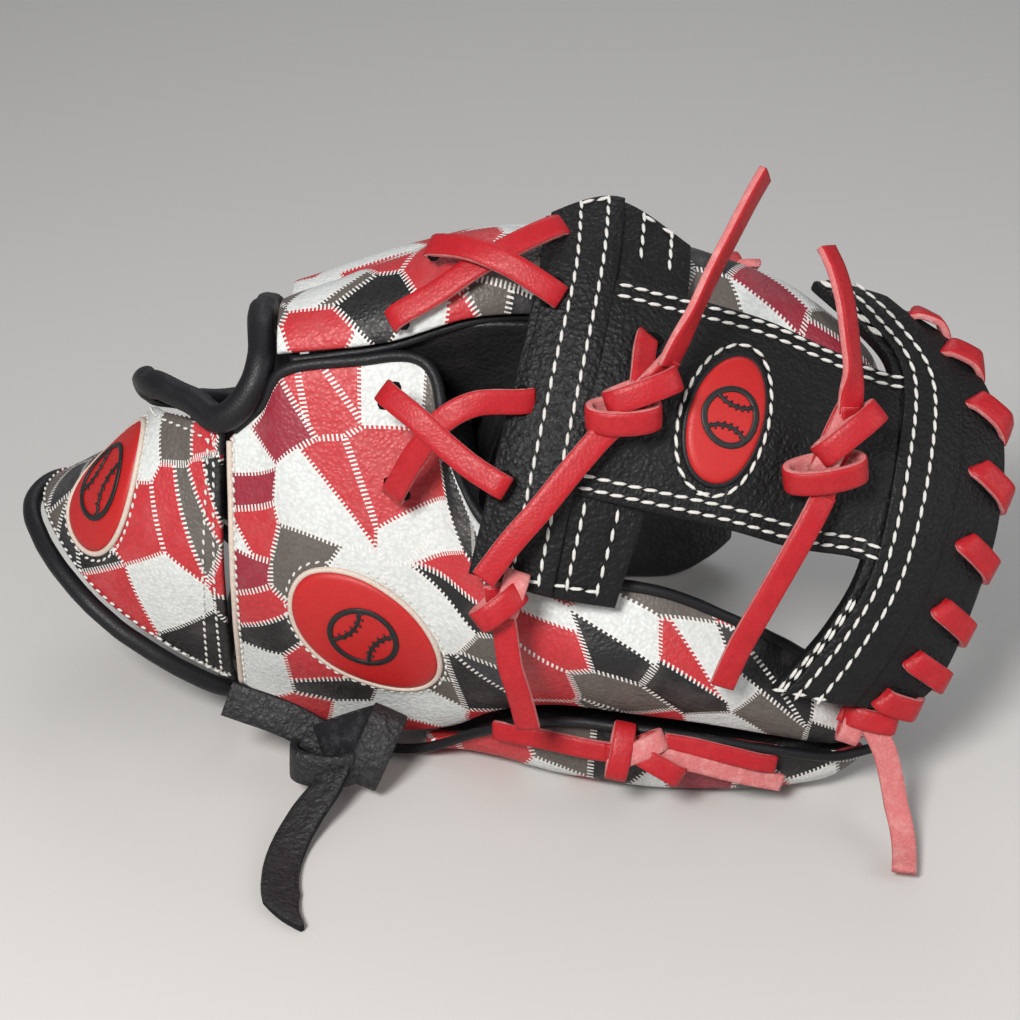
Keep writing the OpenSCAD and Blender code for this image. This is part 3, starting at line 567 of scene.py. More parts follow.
cut_way = node(PRINT, "ShaderNodeCombineXYZ", [(0, maths(PRINT, "COSINE", angle)),
                                               (1, maths(PRINT, "SINE", angle))]).outputs[0]
cut_along = vector(PRINT, "CROSS_PRODUCT", cut_way, (0, 0, 1))
inside = vector(PRINT, "SUBTRACT", flat_place, p1)
off_centre = maths(PRINT, "MULTIPLY", maths(PRINT, "SUBTRACT", chance.outputs[1], 0.5),
                   maths(PRINT, "MULTIPLY", given.outputs["Patch size"], CUT_WANDER))
past_cut = maths(PRINT, "SUBTRACT", vector(PRINT, "DOT_PRODUCT", inside, cut_way), off_centre)
is_cut = maths(PRINT, "LESS_THAN", chance.outputs[2], CUT_SHARE)
cut = ticks(PRINT, vector(PRINT, "DOT_PRODUCT", inside, cut_along), maths(PRINT, "ABSOLUTE", past_cut),
            is_cut)
other_side = maths(PRINT, "MULTIPLY", maths(PRINT, "GREATER_THAN", past_cut, 0.0), is_cut)
shuffled = maths(PRINT, "ADD", maths(PRINT, "MULTIPLY", chance.outputs[1], 3.1),
                 maths(PRINT, "MULTIPLY", other_side, 0.43))
pick = maths(PRINT, "FRACT", maths(PRINT, "ADD", maths(PRINT, "MULTIPLY", chance.outputs[0], 5.3),
                                   shuffled))
palette = node(PRINT, "ShaderNodeValToRGB", [(0, pick)])
palette.color_ramp.interpolation = "CONSTANT"
STOPS = [(0, WHITE), (0.10, RED), (0.19, BLACK), (0.28, WHITE), (0.35, TAUPE), (0.43, CRIMSON),
         (0.49, WHITE), (0.58, RED), (0.67, BLACK), (0.73, WHITE), (0.79, CHARCOAL), (0.85, TAUPE),
         (0.92, RED)]
while len(palette.color_ramp.elements) < len(STOPS):
    palette.color_ramp.elements.new(0.5)
for element, (place, colour) in zip(palette.color_ramp.elements, STOPS):
    element.position, element.color = place, colour
thread = maths(PRINT, "MAXIMUM", border, cut)
tone = node(PRINT, "ShaderNodeTexNoise", [("Vector", given.outputs["Place"]), ("Scale", 90.0),
                                          ("Detail", 3.0)]).outputs[0]
toned = mixed(PRINT, maths(PRINT, "MULTIPLY", tone, INK_MOTTLE), palette.outputs[0], INK_DULL, "MULTIPLY")
PRINT.links.new(mixed(PRINT, thread, toned, TICK_WHITE), made.inputs["Color"])
PRINT.links.new(thread, made.inputs["Thread"])
print("patchwork print", len(PRINT.nodes), "nodes")

# %% [markdown]
# Grain is what makes leather read as leather. Pebbles are the cells of a Voronoi texture
# whose place is pushed about by noise, crossed by longer creases. The group puts out how
# high each spot is and how deep it lies, and every leather uses it at its own scale.

# %% Grain
GRAIN, given, made = group("hide_grain", [("Pebble", FLOAT, 0.0011), ("Crease", FLOAT, 0.35)],
                           [("Height", FLOAT), ("Low", FLOAT)])
place = node(GRAIN, "ShaderNodeTexCoord").outputs["Object"]
push = node(GRAIN, "ShaderNodeTexNoise", [("Vector", place), ("Scale", 420.0),
                                          ("Detail", 2.0)]).outputs["Color"]
jitter = vector(GRAIN, "SUBTRACT", push, (0.5, 0.5, 0.5))
pushed = vector(GRAIN, "ADD", place, vector(GRAIN, "SCALE", jitter, scale=0.0011))
pebbles = maths(GRAIN, "DIVIDE", 1.0, given.outputs["Pebble"])
cells = node(GRAIN, "ShaderNodeTexVoronoi", [("Vector", pushed), ("Scale", pebbles)], feature="SMOOTH_F1")
cells.inputs["Smoothness"].default_value = 0.35
pebble = maths(GRAIN, "SUBTRACT", 1.0, maths(GRAIN, "MULTIPLY", cells.outputs["Distance"], 1.25),
               clamp=True)
creases = node(GRAIN, "ShaderNodeTexNoise", [("Vector", pushed), ("Scale", 190.0), ("Detail", 4.0),
                                             ("Roughness", 0.6)]).outputs[0]
ridge = maths(GRAIN, "ABSOLUTE", maths(GRAIN, "SUBTRACT", creases, 0.5))
furrow = maths(GRAIN, "SUBTRACT", 1.0, maths(GRAIN, "MULTIPLY", ridge, 9.0), clamp=True)
height = maths(GRAIN, "SUBTRACT", pebble, maths(GRAIN, "MULTIPLY", furrow, given.outputs["Crease"]))
GRAIN.links.new(height, made.inputs["Height"])
# Low is how deep a spot lies; the leathers make it rougher and darken it there as painted shade
GRAIN.links.new(maths(GRAIN, "SUBTRACT", 1.0, pebble, clamp=True), made.inputs["Low"])
print("grain", len(GRAIN.nodes), "nodes")

# %% [markdown]
# Hands rub a glove unevenly. Wear mixes in a paler colour where a soft cloudy noise is
# high, so no part of the leather is one flat colour.

# %% Wear
WEAR, given, made = group(
    "handling_wear",
    [("Color", COLOUR, (0.5, 0.5, 0.5, 1)), ("Worn", COLOUR, (0.6, 0.6, 0.6, 1)), ("Amount", FLOAT, 0.3),
     ("Size", FLOAT, 0.02)],
    [("Color", COLOUR)])
place = node(WEAR, "ShaderNodeTexCoord").outputs["Object"]
clouds = maths(WEAR, "DIVIDE", 1.0, given.outputs["Size"])
rub = node(WEAR, "ShaderNodeTexNoise", [("Vector", place), ("Scale", clouds), ("Detail", 6.0),
                                        ("Roughness", 0.65)]).outputs[0]
rubbed = node(WEAR, "ShaderNodeMapRange", [(0, rub), (1, 0.48), (2, 0.72), (3, 0.0), (4, 1.0)]).outputs[0]
mask = maths(WEAR, "MULTIPLY", rubbed, given.outputs["Amount"])
WEAR.links.new(mixed(WEAR, mask, given.outputs["Color"], given.outputs["Worn"]), made.inputs["Color"])
print("groups", [g.name for g in bpy.data.node_groups])

# %% [markdown]
# The printed leather reads the print on its flat UV map, and the grain and the wear in
# space. The grain's low spots are rougher, and painted a little darker as shade in the
# grain's hollows, and the whip-stitch ticks stand out of the surface in the bump.

# %% The printed leather
def material(name, roughness=0.5, specular=0.5):
    """A material with a Principled shader. Gives it with its tree and shader."""
    m = bpy.data.materials.new(name)
    m.use_nodes = True
    m.node_tree.nodes.clear()
    t = m.node_tree
    shader = node(t, "ShaderNodeBsdfPrincipled", [("Roughness", roughness),
                                                  ("Specular IOR Level", specular)])
    out = node(t, "ShaderNodeOutputMaterial", [(0, shader.outputs[0])])
    out.is_active_output = True
    return m, t, shader


def bump(t, shader, height, distance, strength=1.0):
    b = node(t, "ShaderNodeBump", [("Height", height), ("Distance", distance), ("Strength", strength)])
    t.links.new(b.outputs[0], shader.inputs["Normal"])


def use(t, tree, links=()):
    return node(t, "ShaderNodeGroup", links, node_tree=tree)


patchwork, t, shader = material("patchwork_leather", 0.42)
flat = node(t, "ShaderNodeUVMap", uv_map="metres").outputs[0]
printed = use(t, PRINT, [("Place", flat)])
grain = use(t, GRAIN, [("Pebble", 0.00105), ("Crease", 0.45)])
worn = use(t, WEAR, [("Color", printed.outputs["Color"]), ("Worn", (0.50, 0.45, 0.43, 1)), ("Amount", 0.10),
                     ("Size", 0.012)])
# painted shade: the printed colour is darkened in the grain's low spots, the hollows where shade falls
deep = mixed(t, maths(t, "MULTIPLY", grain.outputs["Low"], 0.30), worn.outputs["Color"],
             (0.36, 0.32, 0.32, 1), "MULTIPLY")
t.links.new(deep, shader.inputs["Base Color"])
t.links.new(maths(t, "ADD", 0.36, maths(t, "MULTIPLY", grain.outputs["Low"], 0.25)),
            shader.inputs["Roughness"])
raised = maths(t, "ADD", grain.outputs["Height"], maths(t, "MULTIPLY", printed.outputs["Thread"], 0.5))
bump(t, shader, raised, 0.00016, 0.8)
print("printed leather", len(t.nodes), "nodes")

# %% [markdown]
# The other leathers, the thread, the felt and the board share one recipe: a colour and
# its worn colour, the grain's size, creases and depth, and how much wear there is. Each
# line is a finish: the pebbled black of the web, the smooth face of a lace, its pale raw
# edge, and so on. Lengths are in metres.

# %% Plain hides
def hide(name, colour, worn_colour, roughness, pebble, crease, depth, wear=0.25, size=0.008, specular=0.5):
    m, t, shader = material(name, roughness, specular)
    grain = use(t, GRAIN, [("Pebble", pebble), ("Crease", crease)])
    worn = use(t, WEAR, [("Color", colour), ("Worn", worn_colour), ("Amount", wear), ("Size", size)])
    # painted shade: the colour is darkened in the grain's low spots, the hollows where shade falls
    low = mixed(t, maths(t, "MULTIPLY", grain.outputs["Low"], 0.35), worn.outputs["Color"],
                (0.4, 0.4, 0.4, 1), "MULTIPLY")
    t.links.new(low, shader.inputs["Base Color"])
    t.links.new(maths(t, "ADD", roughness - 0.06, maths(t, "MULTIPLY", grain.outputs["Low"], 0.2)),
                shader.inputs["Roughness"])
    bump(t, shader, grain.outputs["Height"], depth, 0.9)
    return m


black_grain = hide("black_grain_leather", (0.0042, 0.0041, 0.0050, 1), (0.012, 0.0115, 0.012, 1), 0.50,
                   0.0012, 0.6, 0.00026, specular=0.30)
black_smooth = hide("black_smooth_leather", (0.0060, 0.0060, 0.0080, 1), (0.014, 0.014, 0.018, 1), 0.46,
                    0.0007, 0.2, 0.00005, specular=0.35)
palm_hide = hide("palm_leather", (0.012, 0.0115, 0.0125, 1), (0.05, 0.045, 0.042, 1), 0.46, 0.0012, 0.5,
                 0.00014, 0.4, 0.016)
lace_face = hide("lace_face", (0.44, 0.0075, 0.014, 1), (0.56, 0.035, 0.040, 1), 0.42, 0.0008, 0.3, 0.00006,
                 0.30, 0.005, 0.4)
lace_raw = hide("lace_raw_edge", (0.62, 0.185, 0.185, 1), (0.72, 0.36, 0.34, 1), 0.85, 0.0005, 0.5, 0.00012,
                0.8, 0.003, 0.2)
tie_face = hide("tie_leather", (0.0135, 0.013, 0.0145, 1), (0.045, 0.043, 0.045, 1), 0.52, 0.0014, 0.8,
                0.00035, 0.35, 0.005)
tie_raw = hide("tie_raw_edge", (0.012, 0.012, 0.014, 1), (0.05, 0.05, 0.055, 1), 0.9, 0.0005, 0.5, 0.00014,
               0.7, 0.003, 0.2)
patch_red = hide("patch_red", (0.50, 0.009, 0.009, 1), (0.55, 0.02, 0.015, 1), 0.46, 0.0004, 0.1, 0.00002,
                 0.3, 0.01)
patch_ink = hide("patch_ink", (0.008, 0.008, 0.009, 1), (0.02, 0.02, 0.022, 1), 0.45, 0.0004, 0.1, 0.00002)
cream = hide("cream_piping", (0.66, 0.55, 0.47, 1), (0.72, 0.63, 0.56, 1), 0.55, 0.0006, 0.2, 0.00004)
thread = hide("waxed_thread", (0.72, 0.71, 0.67, 1), (0.80, 0.79, 0.76, 1), 0.6, 0.0003, 0.6, 0.00008, 0.5,
              0.002, 0.3)
felt = hide("wool_felt", (0.34, 0.30, 0.24, 1), (0.42, 0.38, 0.32, 1), 0.95, 0.0005, 0.8, 0.00025, 0.6,
            0.004, 0.1)
board = hide("stiffener_board", (0.55, 0.55, 0.53, 1), (0.62, 0.62, 0.6, 1), 0.5, 0.0008, 0.1, 0.00002)
# near-black for the punched holes: the rolled rim, and a strip across it that is painted shade in the slit
painted_hole_shade = hide("hole_rim_and_painted_shade", (0.004, 0.004, 0.004, 1), (0.01, 0.01, 0.01, 1), 0.9, 0.0006, 0.2, 0.00003,
                 0.2, 0.005, 0.1)
print("hides", len(bpy.data.materials) - 1)

# %% [markdown]
# The lining is a dark woven cloth. Two sets of waves on its flat UV map are the warp and
# the weft, and the higher of the two is what stands out.

# %% Lining cloth
WEAVE = [("Scale", 260.0), ("Distortion", 0.6)]
lining_cloth, t, shader = material("lining_cloth", 0.8, 0.25)
flat = node(t, "ShaderNodeUVMap", uv_map="metres").outputs[0]
warp, weft = [node(t, "ShaderNodeTexWave", [("Vector", flat)] + WEAVE, bands_direction=way).outputs["Fac"]
              for way in "XY"]
cloth = use(t, WEAR, [("Color", (0.011, 0.011, 0.013, 1)), ("Worn", (0.03, 0.03, 0.034, 1)),
                      ("Amount", 0.4), ("Size", 0.01)])
t.links.new(cloth.outputs["Color"], shader.inputs["Base Color"])
bump(t, shader, maths(t, "MAXIMUM", warp, weft), 0.00012, 0.7)
print("materials", len(bpy.data.materials))

# %% [markdown]
# Stitches repeat along seams hundreds of times, so Geometry Nodes lay them. The rows are
# thin lines of edges that lie on the leather, and each point carries the way out of the
# surface. The tree resamples a row at the stitch pitch and puts a small grain-shaped
# stitch on each point, turned along the seam and slanted a little, as a lock stitch is.

# %% Geometry Nodes tree for a row of stitches
def stitch_tree():
    tree = bpy.data.node_groups.new("stitch_row", "GeometryNodeTree")
    tree.interface.new_socket("Geometry", in_out="INPUT", socket_type="NodeSocketGeometry")
    for label, value in (("Pitch", 0.0026), ("Length", 0.002), ("Width", 0.0008), ("Slant", 0.2)):
        tree.interface.new_socket(label, in_out="INPUT",
                                  socket_type="NodeSocketFloat").default_value = value
    tree.interface.new_socket("Thread", in_out="INPUT", socket_type="NodeSocketMaterial")
    tree.interface.new_socket("Geometry", in_out="OUTPUT", socket_type="NodeSocketGeometry")
    given, made = node(tree, "NodeGroupInput"), node(tree, "NodeGroupOutput")
    curve = node(tree, "GeometryNodeMeshToCurve", [("Mesh", given.outputs["Geometry"])])
    row = node(tree, "GeometryNodeResampleCurve", [("Curve", curve.outputs[0]),
                                                   ("Length", given.outputs["Pitch"])], mode="LENGTH")
    out = node(tree, "GeometryNodeInputNamedAttribute", [("Name", "out")], data_type="FLOAT_VECTOR")
    tangent = node(tree, "GeometryNodeInputTangent")
    run = node(tree, "FunctionNodeAlignRotationToVector", [("Vector", tangent.outputs[0])], axis="X")
    flat = node(tree, "FunctionNodeAlignRotationToVector",
                [("Rotation", run.outputs[0]), ("Vector", out.outputs[0])], axis="Z", pivot_axis="X")
    slant = node(tree, "FunctionNodeAxisAngleToRotation",
                 [("Axis", (0, 0, 1)), ("Angle", given.outputs["Slant"])])
    turned = node(tree, "FunctionNodeRotateRotation", [(0, flat.outputs[0]), (1, slant.outputs[0])],
                  rotation_space="LOCAL")
    grain = node(tree, "GeometryNodeMeshUVSphere", [("Segments", 6), ("Rings", 4), ("Radius", 0.5)])
    size = node(tree, "ShaderNodeCombineXYZ", [(0, given.outputs["Length"]), (1, given.outputs["Width"]),
                                               (2, given.outputs["Width"])])
    placed = node(tree, "GeometryNodeInstanceOnPoints",
                  [("Points", row.outputs[0]), ("Instance", grain.outputs["Mesh"]),
                   ("Rotation", turned.outputs[0]), ("Scale", size.outputs[0])])
    real = node(tree, "GeometryNodeRealizeInstances", [("Geometry", placed.outputs[0])])
    smooth = node(tree, "GeometryNodeSetShadeSmooth", [(0, real.outputs[0])])
    painted = node(tree, "GeometryNodeSetMaterial", [("Geometry", smooth.outputs[0]),
                                                     ("Material", given.outputs["Thread"])])
    tree.links.new(painted.outputs[0], made.inputs[0])
    return tree


STITCHES = stitch_tree()
SOCKET = {item.name: item.identifier for item in STITCHES.interface.items_tree if item.in_out == "INPUT"}
print("inputs", list(SOCKET))

# %% [markdown]
# The tree's inputs are set by their identifiers before the row is first evaluated. The
# result becomes a plain mesh, and the row that it came from is thrown away. A row can
# run along a net's lines, through a few chosen places, or round an oval.

# %% Rows of stitches
STITCH_FACES = 24                         # of the small sphere that each stitch is
ROW_LIFT = 0.35                           # of a row above its net, in mm


def stitches(name, rows, pitch=2.6, length=1.9, width=0.8, slant=0.2):
    """rows are pairs of points and outward ways, both n x 3, in the drawing's millimetres."""
    points, ways, edges = [], [], []
    for line, out in rows:
        start = sum(len(p) for p in points)
        points.append(np.asarray(line))
        ways.append(np.asarray(out))
        edges += [(start + i, start + i + 1) for i in range(len(line) - 1)]
    mesh = bpy.data.meshes.new(name + "_rows")
    mesh.from_pydata(((np.concatenate(points) + SHIFT) * MM).tolist(), edges, [])
    outward = mesh.attributes.new("out", "FLOAT_VECTOR", "POINT")
    outward.data.foreach_set("vector", np.concatenate(ways).astype(np.float32).ravel())
    rows_object = bpy.data.objects.new(name + "_rows", mesh)
    bpy.context.scene.collection.objects.link(rows_object)
    modifier = rows_object.modifiers.new("stitches", "NODES")
    modifier.node_group = STITCHES
    for label, value in (("Pitch", pitch * MM), ("Length", length * MM), ("Width", width * MM),
                         ("Slant", slant)):
        modifier[SOCKET[label]] = value
    modifier[SOCKET["Thread"]] = thread
    evaluated = rows_object.evaluated_get(bpy.context.evaluated_depsgraph_get())
    result = bpy.data.meshes.new_from_object(evaluated)
    bpy.data.objects.remove(rows_object)
    bpy.data.meshes.remove(mesh)
    result.name = name
    obj = bpy.data.objects.new(name, result)
    bpy.context.scene.collection.objects.link(obj)
    if not result.materials:
        result.materials.append(thread)
    print(name, len(result.polygons) // STITCH_FACES, "stitches")
    return obj


def row_on(net, us, vs, lift=ROW_LIFT, n=80):
    """A row of stitches through the listed u, v of a net."""
    t = np.linspace(0, 1, n)
    uv = spline(np.stack([np.asarray(us, float), np.asarray(vs, float)], 1), t)
    return lifted(net, uv[:, 0], uv[:, 1], np.full(n, lift)), facing(net, uv[:, 0], uv[:, 1])


def line_on(net, u0, v0, u1, v1, lift=ROW_LIFT, n=80):
    """A straight row from one place of a net to another."""
    u, v = np.linspace(u0, u1, n), np.linspace(v0, v1, n)
    return lifted(net, u, v, np.full(n, lift)), facing(net, u, v)


def oval_row(net, u, v, ru, rv, tilt, k, lift=ROW_LIFT, n=97):
    """A row round a patch, at k of its radius."""
    a = np.linspace(0, 2 * math.pi, n)
    pu, pv = oval_at(net, u, v, ru, rv, tilt, np.full(n, k), a)
    return lifted(net, pu, pv, np.full(n, lift)), facing(net, pu, pv)


print("a row on the strap is", round(length_of(line_on(STRAP, 0, 0.5, 1, 0.5)[0])), "mm long")

# %% [markdown]
# The small red patches carry a made-up badge: a ball, drawn as a ring with its two seam
# curves in black ink. The ink is a thin raised band, so it is still there up close.

# %% A patch's ball badge and piping
RING_WIDE, SEAM_WIDE = 1.5, 0.95          # the ink's widths in mm


def badge(name, net, u, v, size, tilt, lift):
    bands = []
    ring = np.linspace(0, 2 * math.pi, 49)
    half = np.linspace(-0.92, 0.92, 15)
    lines = [(np.cos(ring), np.sin(ring), RING_WIDE)]
    lines += [(side * (0.93 - 0.55 * np.cos(half * 1.25)), np.sin(half * 1.02), SEAM_WIDE)
              for side in (1, -1)]
    for i, (x, y, wide) in enumerate(lines):
        pu, pv = oval_at(net, u, v, size, size, tilt, np.hypot(x, y), np.arctan2(y, x))
        line, out = lifted(net, pu, pv, np.full(len(pu), lift)), facing(net, pu, pv)
        bands.append(sweep(f"{name}_{i}", line, strip(wide, 0.5, 0.1), out, 0.8, closed=i == 0,
                           materials=[patch_ink]))
    # short seam stitches across the two curves
    for side in (-1, 1):
        for s in np.linspace(-0.75, 0.75, 7):
            x0, y0 = side * (0.93 - 0.55 * math.cos(s * 1.25)), math.sin(s * 1.02)
            x = np.array([x0 - 0.13, x0 + 0.02, x0 + 0.13])
            y = np.array([y0 + 0.07, y0, y0 + 0.07])
            pu, pv = oval_at(net, u, v, size, size, tilt, np.hypot(x, y), np.arctan2(y, x))
            bands.append(sweep(f"{name}_s{side}{s:.2f}", lifted(net, pu, pv, np.full(3, lift)),
                               strip(0.5, 0.4, 0.08), facing(net, pu, pv), 0.8, materials=[patch_ink]))
    return join(name, bands)


def ring_on(name, net, u, v, ru, rv, tilt, k, lift, radius, colour):
    line, out = oval_row(net, u, v, ru, rv, tilt, k, lift, 49)
    return sweep(name, line, disc(radius, 8), out, 1.5, closed=True, materials=[colour])


def ride(body, nodes, piece):
    """A finished piece: its body, and the nodes that it stands for."""
    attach(piece, body)
    if nodes:
        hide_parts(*nodes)
    return piece


print("a piping's section has", len(disc(0.75, 8)), "points")

# %% [markdown]
# The cords come before the panels. Six lace ends hang free. A lace of this thickness is
# a stiff strip that stands in the curve it was pulled into, and its cut end is bare.
# Each follows the same route as its solid in the CAD model.

# %% Free lace ends
RED_W, RED_T = 6.0, 1.9
TIE_W, TIE_T = 9.2, 2.0
RED_LACE, TIE_LACE = [lace_face, lace_raw], [tie_face, tie_raw]


def red_lace(name, route, ups, step=0.8, width=RED_W, **more):
    return sweep(name, route, strip(width, RED_T), ups, step, materials=RED_LACE, face_of=LACE_FACE, **more)


def tail(name, node_name, body, route, ups, width, lay, made_of, slot_name, **more):
    section = strip(width, TIE_T if width == TIE_W else RED_T)
    piece = sweep(name, route, section, ups, 0.8, materials=made_of, face_of=LACE_FACE, **more)
    ride(body, [node_name], piece)
    return piece


TAILS = {
    "post_tail_up": ("web", [[36, -48, 120], [38.5, -48, 126], [42, -46, 133], [46, -42.5, 141],
                             [50.5, -38, 148.5],
                             [54.8, -33, 155], [58, -29, 159]],
                     [[0.6, -0.75, -0.1]] * 2 + [[0.8, -0.55, -0.1]] * 5, "taut"),
    "post_tail_down": ("web", [[24.5, -54, 108.5], [20, -56.5, 105], [13.5, -60.5, 98.5], [7, -64.5, 91.5],
                               [0, -67.5, 84],
                               [-6.2, -70, 76]], [0.1, -0.85, 0.5], "hanging"),
    "top_bar_tail_up": ("web", [[78.3, -49.5, 108.5], [78.5, -48.6, 113], [78.5, -47.5, 119],
                                [77.5, -45, 126.5],
                                [76.3, -42, 133.5], [74.4, -38.5, 139.5], [72.2, -35, 143.5]],
                        [[0.3, -0.95, 0.1]] * 2 + [[0.75, -0.65, 0.1]] * 5, "taut"),
    "top_bar_tail_down": ("web", [[73, -56.5, 91], [69.7, -60.5, 86], [64, -64.5, 76], [58.5, -67, 65.5],
                                  [53.7, -68.5, 55.5], [50.3, -69.5, 46]], [0.15, -0.95, 0.3], "hanging"),
    "thumb_tip_tail": ("thumb", [[88.5, -62, 29], [90, -63, 26.5], [92, -64, 22], [93.8, -66, 15.5],
                                 [95, -68.5, 9.8],
                                 [96, -72, 6.2], [96.2, -76, 4], [95.7, -81, 2.9], [95, -85, 2.6]],
                       [[-0.15, 1, -0.1]] * 4 + [[-0.1, 0.8, -0.6]] * 2 + [[0, 0.2, -1]] * 3, "hanging")}
for name, (body, route, ups, lay) in TAILS.items():
    tail(name + "_lace", name, body, route, ups, RED_W, lay, RED_LACE, "red_lace")
HEEL_TAIL = [[-43, -53.5, 11.5], [-44.3, -56.5, 9.8], [-46.5, -60, 7.5], [-50.5, -65.5, 4.5],
             [-54, -73, 1.6], [-55.5, -81.5, 0.6], [-55, -90.5, 0.5], [-52.5, -97.5, 0.5],
             [-48.7, -103, 0.5]]
tail("heel_tie_tail_lace", "heel_tie_tail", "thumb", HEEL_TAIL, [0, 0.1, 1], TIE_W, "loose", TIE_LACE,
     "black_lace", ends=(0.75, 0.12), end_reach=12)

# %% [markdown]
# The outer shell's panels: the strap round the back of the wrist, the back and the palm
# side of each stall. Where the thumb's leather meets the strap it bends over the hinge, and
# that panel and what is sewn to it are left where they are, on no body.


def bend(nodes, piece):
    """A piece that crosses from the hand to the thumb."""
    if nodes:
        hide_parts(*nodes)
    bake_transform(piece)
    return piece


strap = sheet("wrist_strap_leather", STRAP, SHELL_T, puff=0.5, wrinkle=0.3, seed=1, shift=(0, 0),
              materials=[patchwork])
ride("hand_shell", ["wrist_strap"], strap)
lining = sheet("strap_lining_cloth", STRAP, LINING_T, -SHELL_T - GAP, (0.02, 0.98), (0.06, 0.94), 2.4, 0,
               0.2, 2, materials=[lining_cloth])
ride("hand_shell", ["strap_lining"], lining)
palm = sheet("palm_hide", PALM, SHELL_T, puff=0.4, wrinkle=0.5, seed=3, materials=[palm_hide])
ride("hand_shell", ["palm_leather"], palm)
hand_lining = sheet("hand_lining_cloth", PALM, LINING_T, -SHELL_T - 2 * GAP - PAD_T, (0.12, 0.92),
                    (0.1, 0.9), 2.6, 0, 0.1, 4, materials=[lining_cloth])
ride("hand_shell", ["hand_lining"], hand_lining)
for label, span_u in (("palm_pad", (0.52, 0.86)), ("heel_pad", (0.08, 0.46))):
    pad = sheet(label + "_felt", PALM, PAD_T, -SHELL_T - GAP, span_u, (0.14, 0.86), 2.4, 0.0, 0.0, 5,
                edge=1.3, materials=[felt])
    ride("hand_shell", [label], pad)
print("the lining lies", round(SHELL_T + GAP, 1), "mm inside the strap")

# %% [markdown]
# Each finger stall is a printed back and a black front, sewn to each other along two
# welts. One loop makes the three that don't move, from their lines and sizes. The printed
# backs are filled less in the middle than the thumb's, so they sag between their welts.

# %% Finger stalls
FINGERS = {"index": (INDEX, 15.5, 11, (180, 40)), "middle": (MIDDLE, 15.5, 13, (20, 230)),
           "ring": (RING, 14.5, 12.5, (330, 90))}
for label, (line, a, b, where) in FINGERS.items():
    back = sheet(label + "_back_leather", stall_net(line, a, b, SEAM_ANGLE, 180 - SEAM_ANGLE), SHELL_T,
                 puff=-0.5, wrinkle=0.35, seed=7 + a, shift=where, materials=[patchwork])
    ride("hand_shell", [label + "_back"], back)
    front = sheet(label + "_front_leather", stall_net(line, a, b, 180 + SEAM_ANGLE, 360 - SEAM_ANGLE),
                  SHELL_T, u=(0.4, 1), puff=-0.3, wrinkle=0.4, seed=9 + b, materials=[palm_hide])
    ride("hand_shell", [label + "_front"], front)
    welts = []
    for k, w in enumerate((0, 180)):
        row = np.array(stall_net(line, a - 1.2, b, w, w + 1, 1)[0])
        welts.append(sweep(f"{label}_welt_{k}", spline(row, np.arange(0.02, 0.945, 0.0575)), disc(1.25, 12),
                           [0, 0, 1], 1.2, materials=[black_smooth], wander=0.15))
    ride("hand_shell", [label + "_welts"], join(label + "_welt_cord", welts))
print("finger stalls", len(FINGERS))

# %% [markdown]
# The thumb is the largest panel, and the one that shows most. Its front is one leather
# in the CAD model, and two here: the printed strip that is seen under the welt, and the
# black palm side. A board inside keeps it stiff.

# %% Thumb
thumb_back = sheet("thumb_back_leather", THUMB, SHELL_T, puff=0.6, wrinkle=0.4, seed=21, shift=(0, 300),
                   cell=1.6, materials=[patchwork])
bend(["thumb_back"], thumb_back)
thumb_strip = sheet("thumb_strip_leather", THUMB_FRONT, SHELL_T, v=(0, 0.40), puff=0.3, wrinkle=0.3,
                    seed=22, shift=(40, 420), cell=1.5, materials=[patchwork])
thumb_palm = sheet("thumb_palm_leather", THUMB_FRONT, SHELL_T, v=(0.40, 1), puff=0.3, wrinkle=0.5, seed=23,
                   materials=[palm_hide])
ride("thumb", ["thumb_front"], thumb_strip)
ride("thumb", ["thumb_front"], thumb_palm)
thumb_board = sheet("thumb_board", THUMB, BOARD_T, -SHELL_T - GAP, (0.3, 0.9), (0.2, 0.8), 2.6, 0, 0, 24,
                    materials=[board])
ride("thumb", ["thumb_stiffener"], thumb_board)
WELT = [[-60, -28.5, 4.5], [-44, -32, 2.6], [-24, -35.5, 2.6], [-5, -43.5, 14.5], [12, -50.5, 22],
        [30, -56, 23.8], [48, -58, 22], [65, -57, 18], [80, -55, 14.5], [91, -51.5, 14.5]]
thumb_welt = sweep("thumb_welt_cord", WELT, disc(1.3, 12), [0, 0, 1], 1.2, materials=[black_smooth],
                   wander=0.15)
bend(["thumb_welt"], thumb_welt)
edge = lifted(THUMB, np.linspace(0.02, 1, 40), np.ones(40), np.full(40, -0.8)) + [0, 0, 0.9]
thumb_edge = sweep("thumb_edge_binding", edge, disc(1.5, 12), [0, -0.3, 1], 1.2, materials=[black_smooth],
                   wander=0.2)
bend(["thumb_back"], thumb_edge)
print("the thumb's welt is", round(length_of(np.array(WELT))), "mm long")
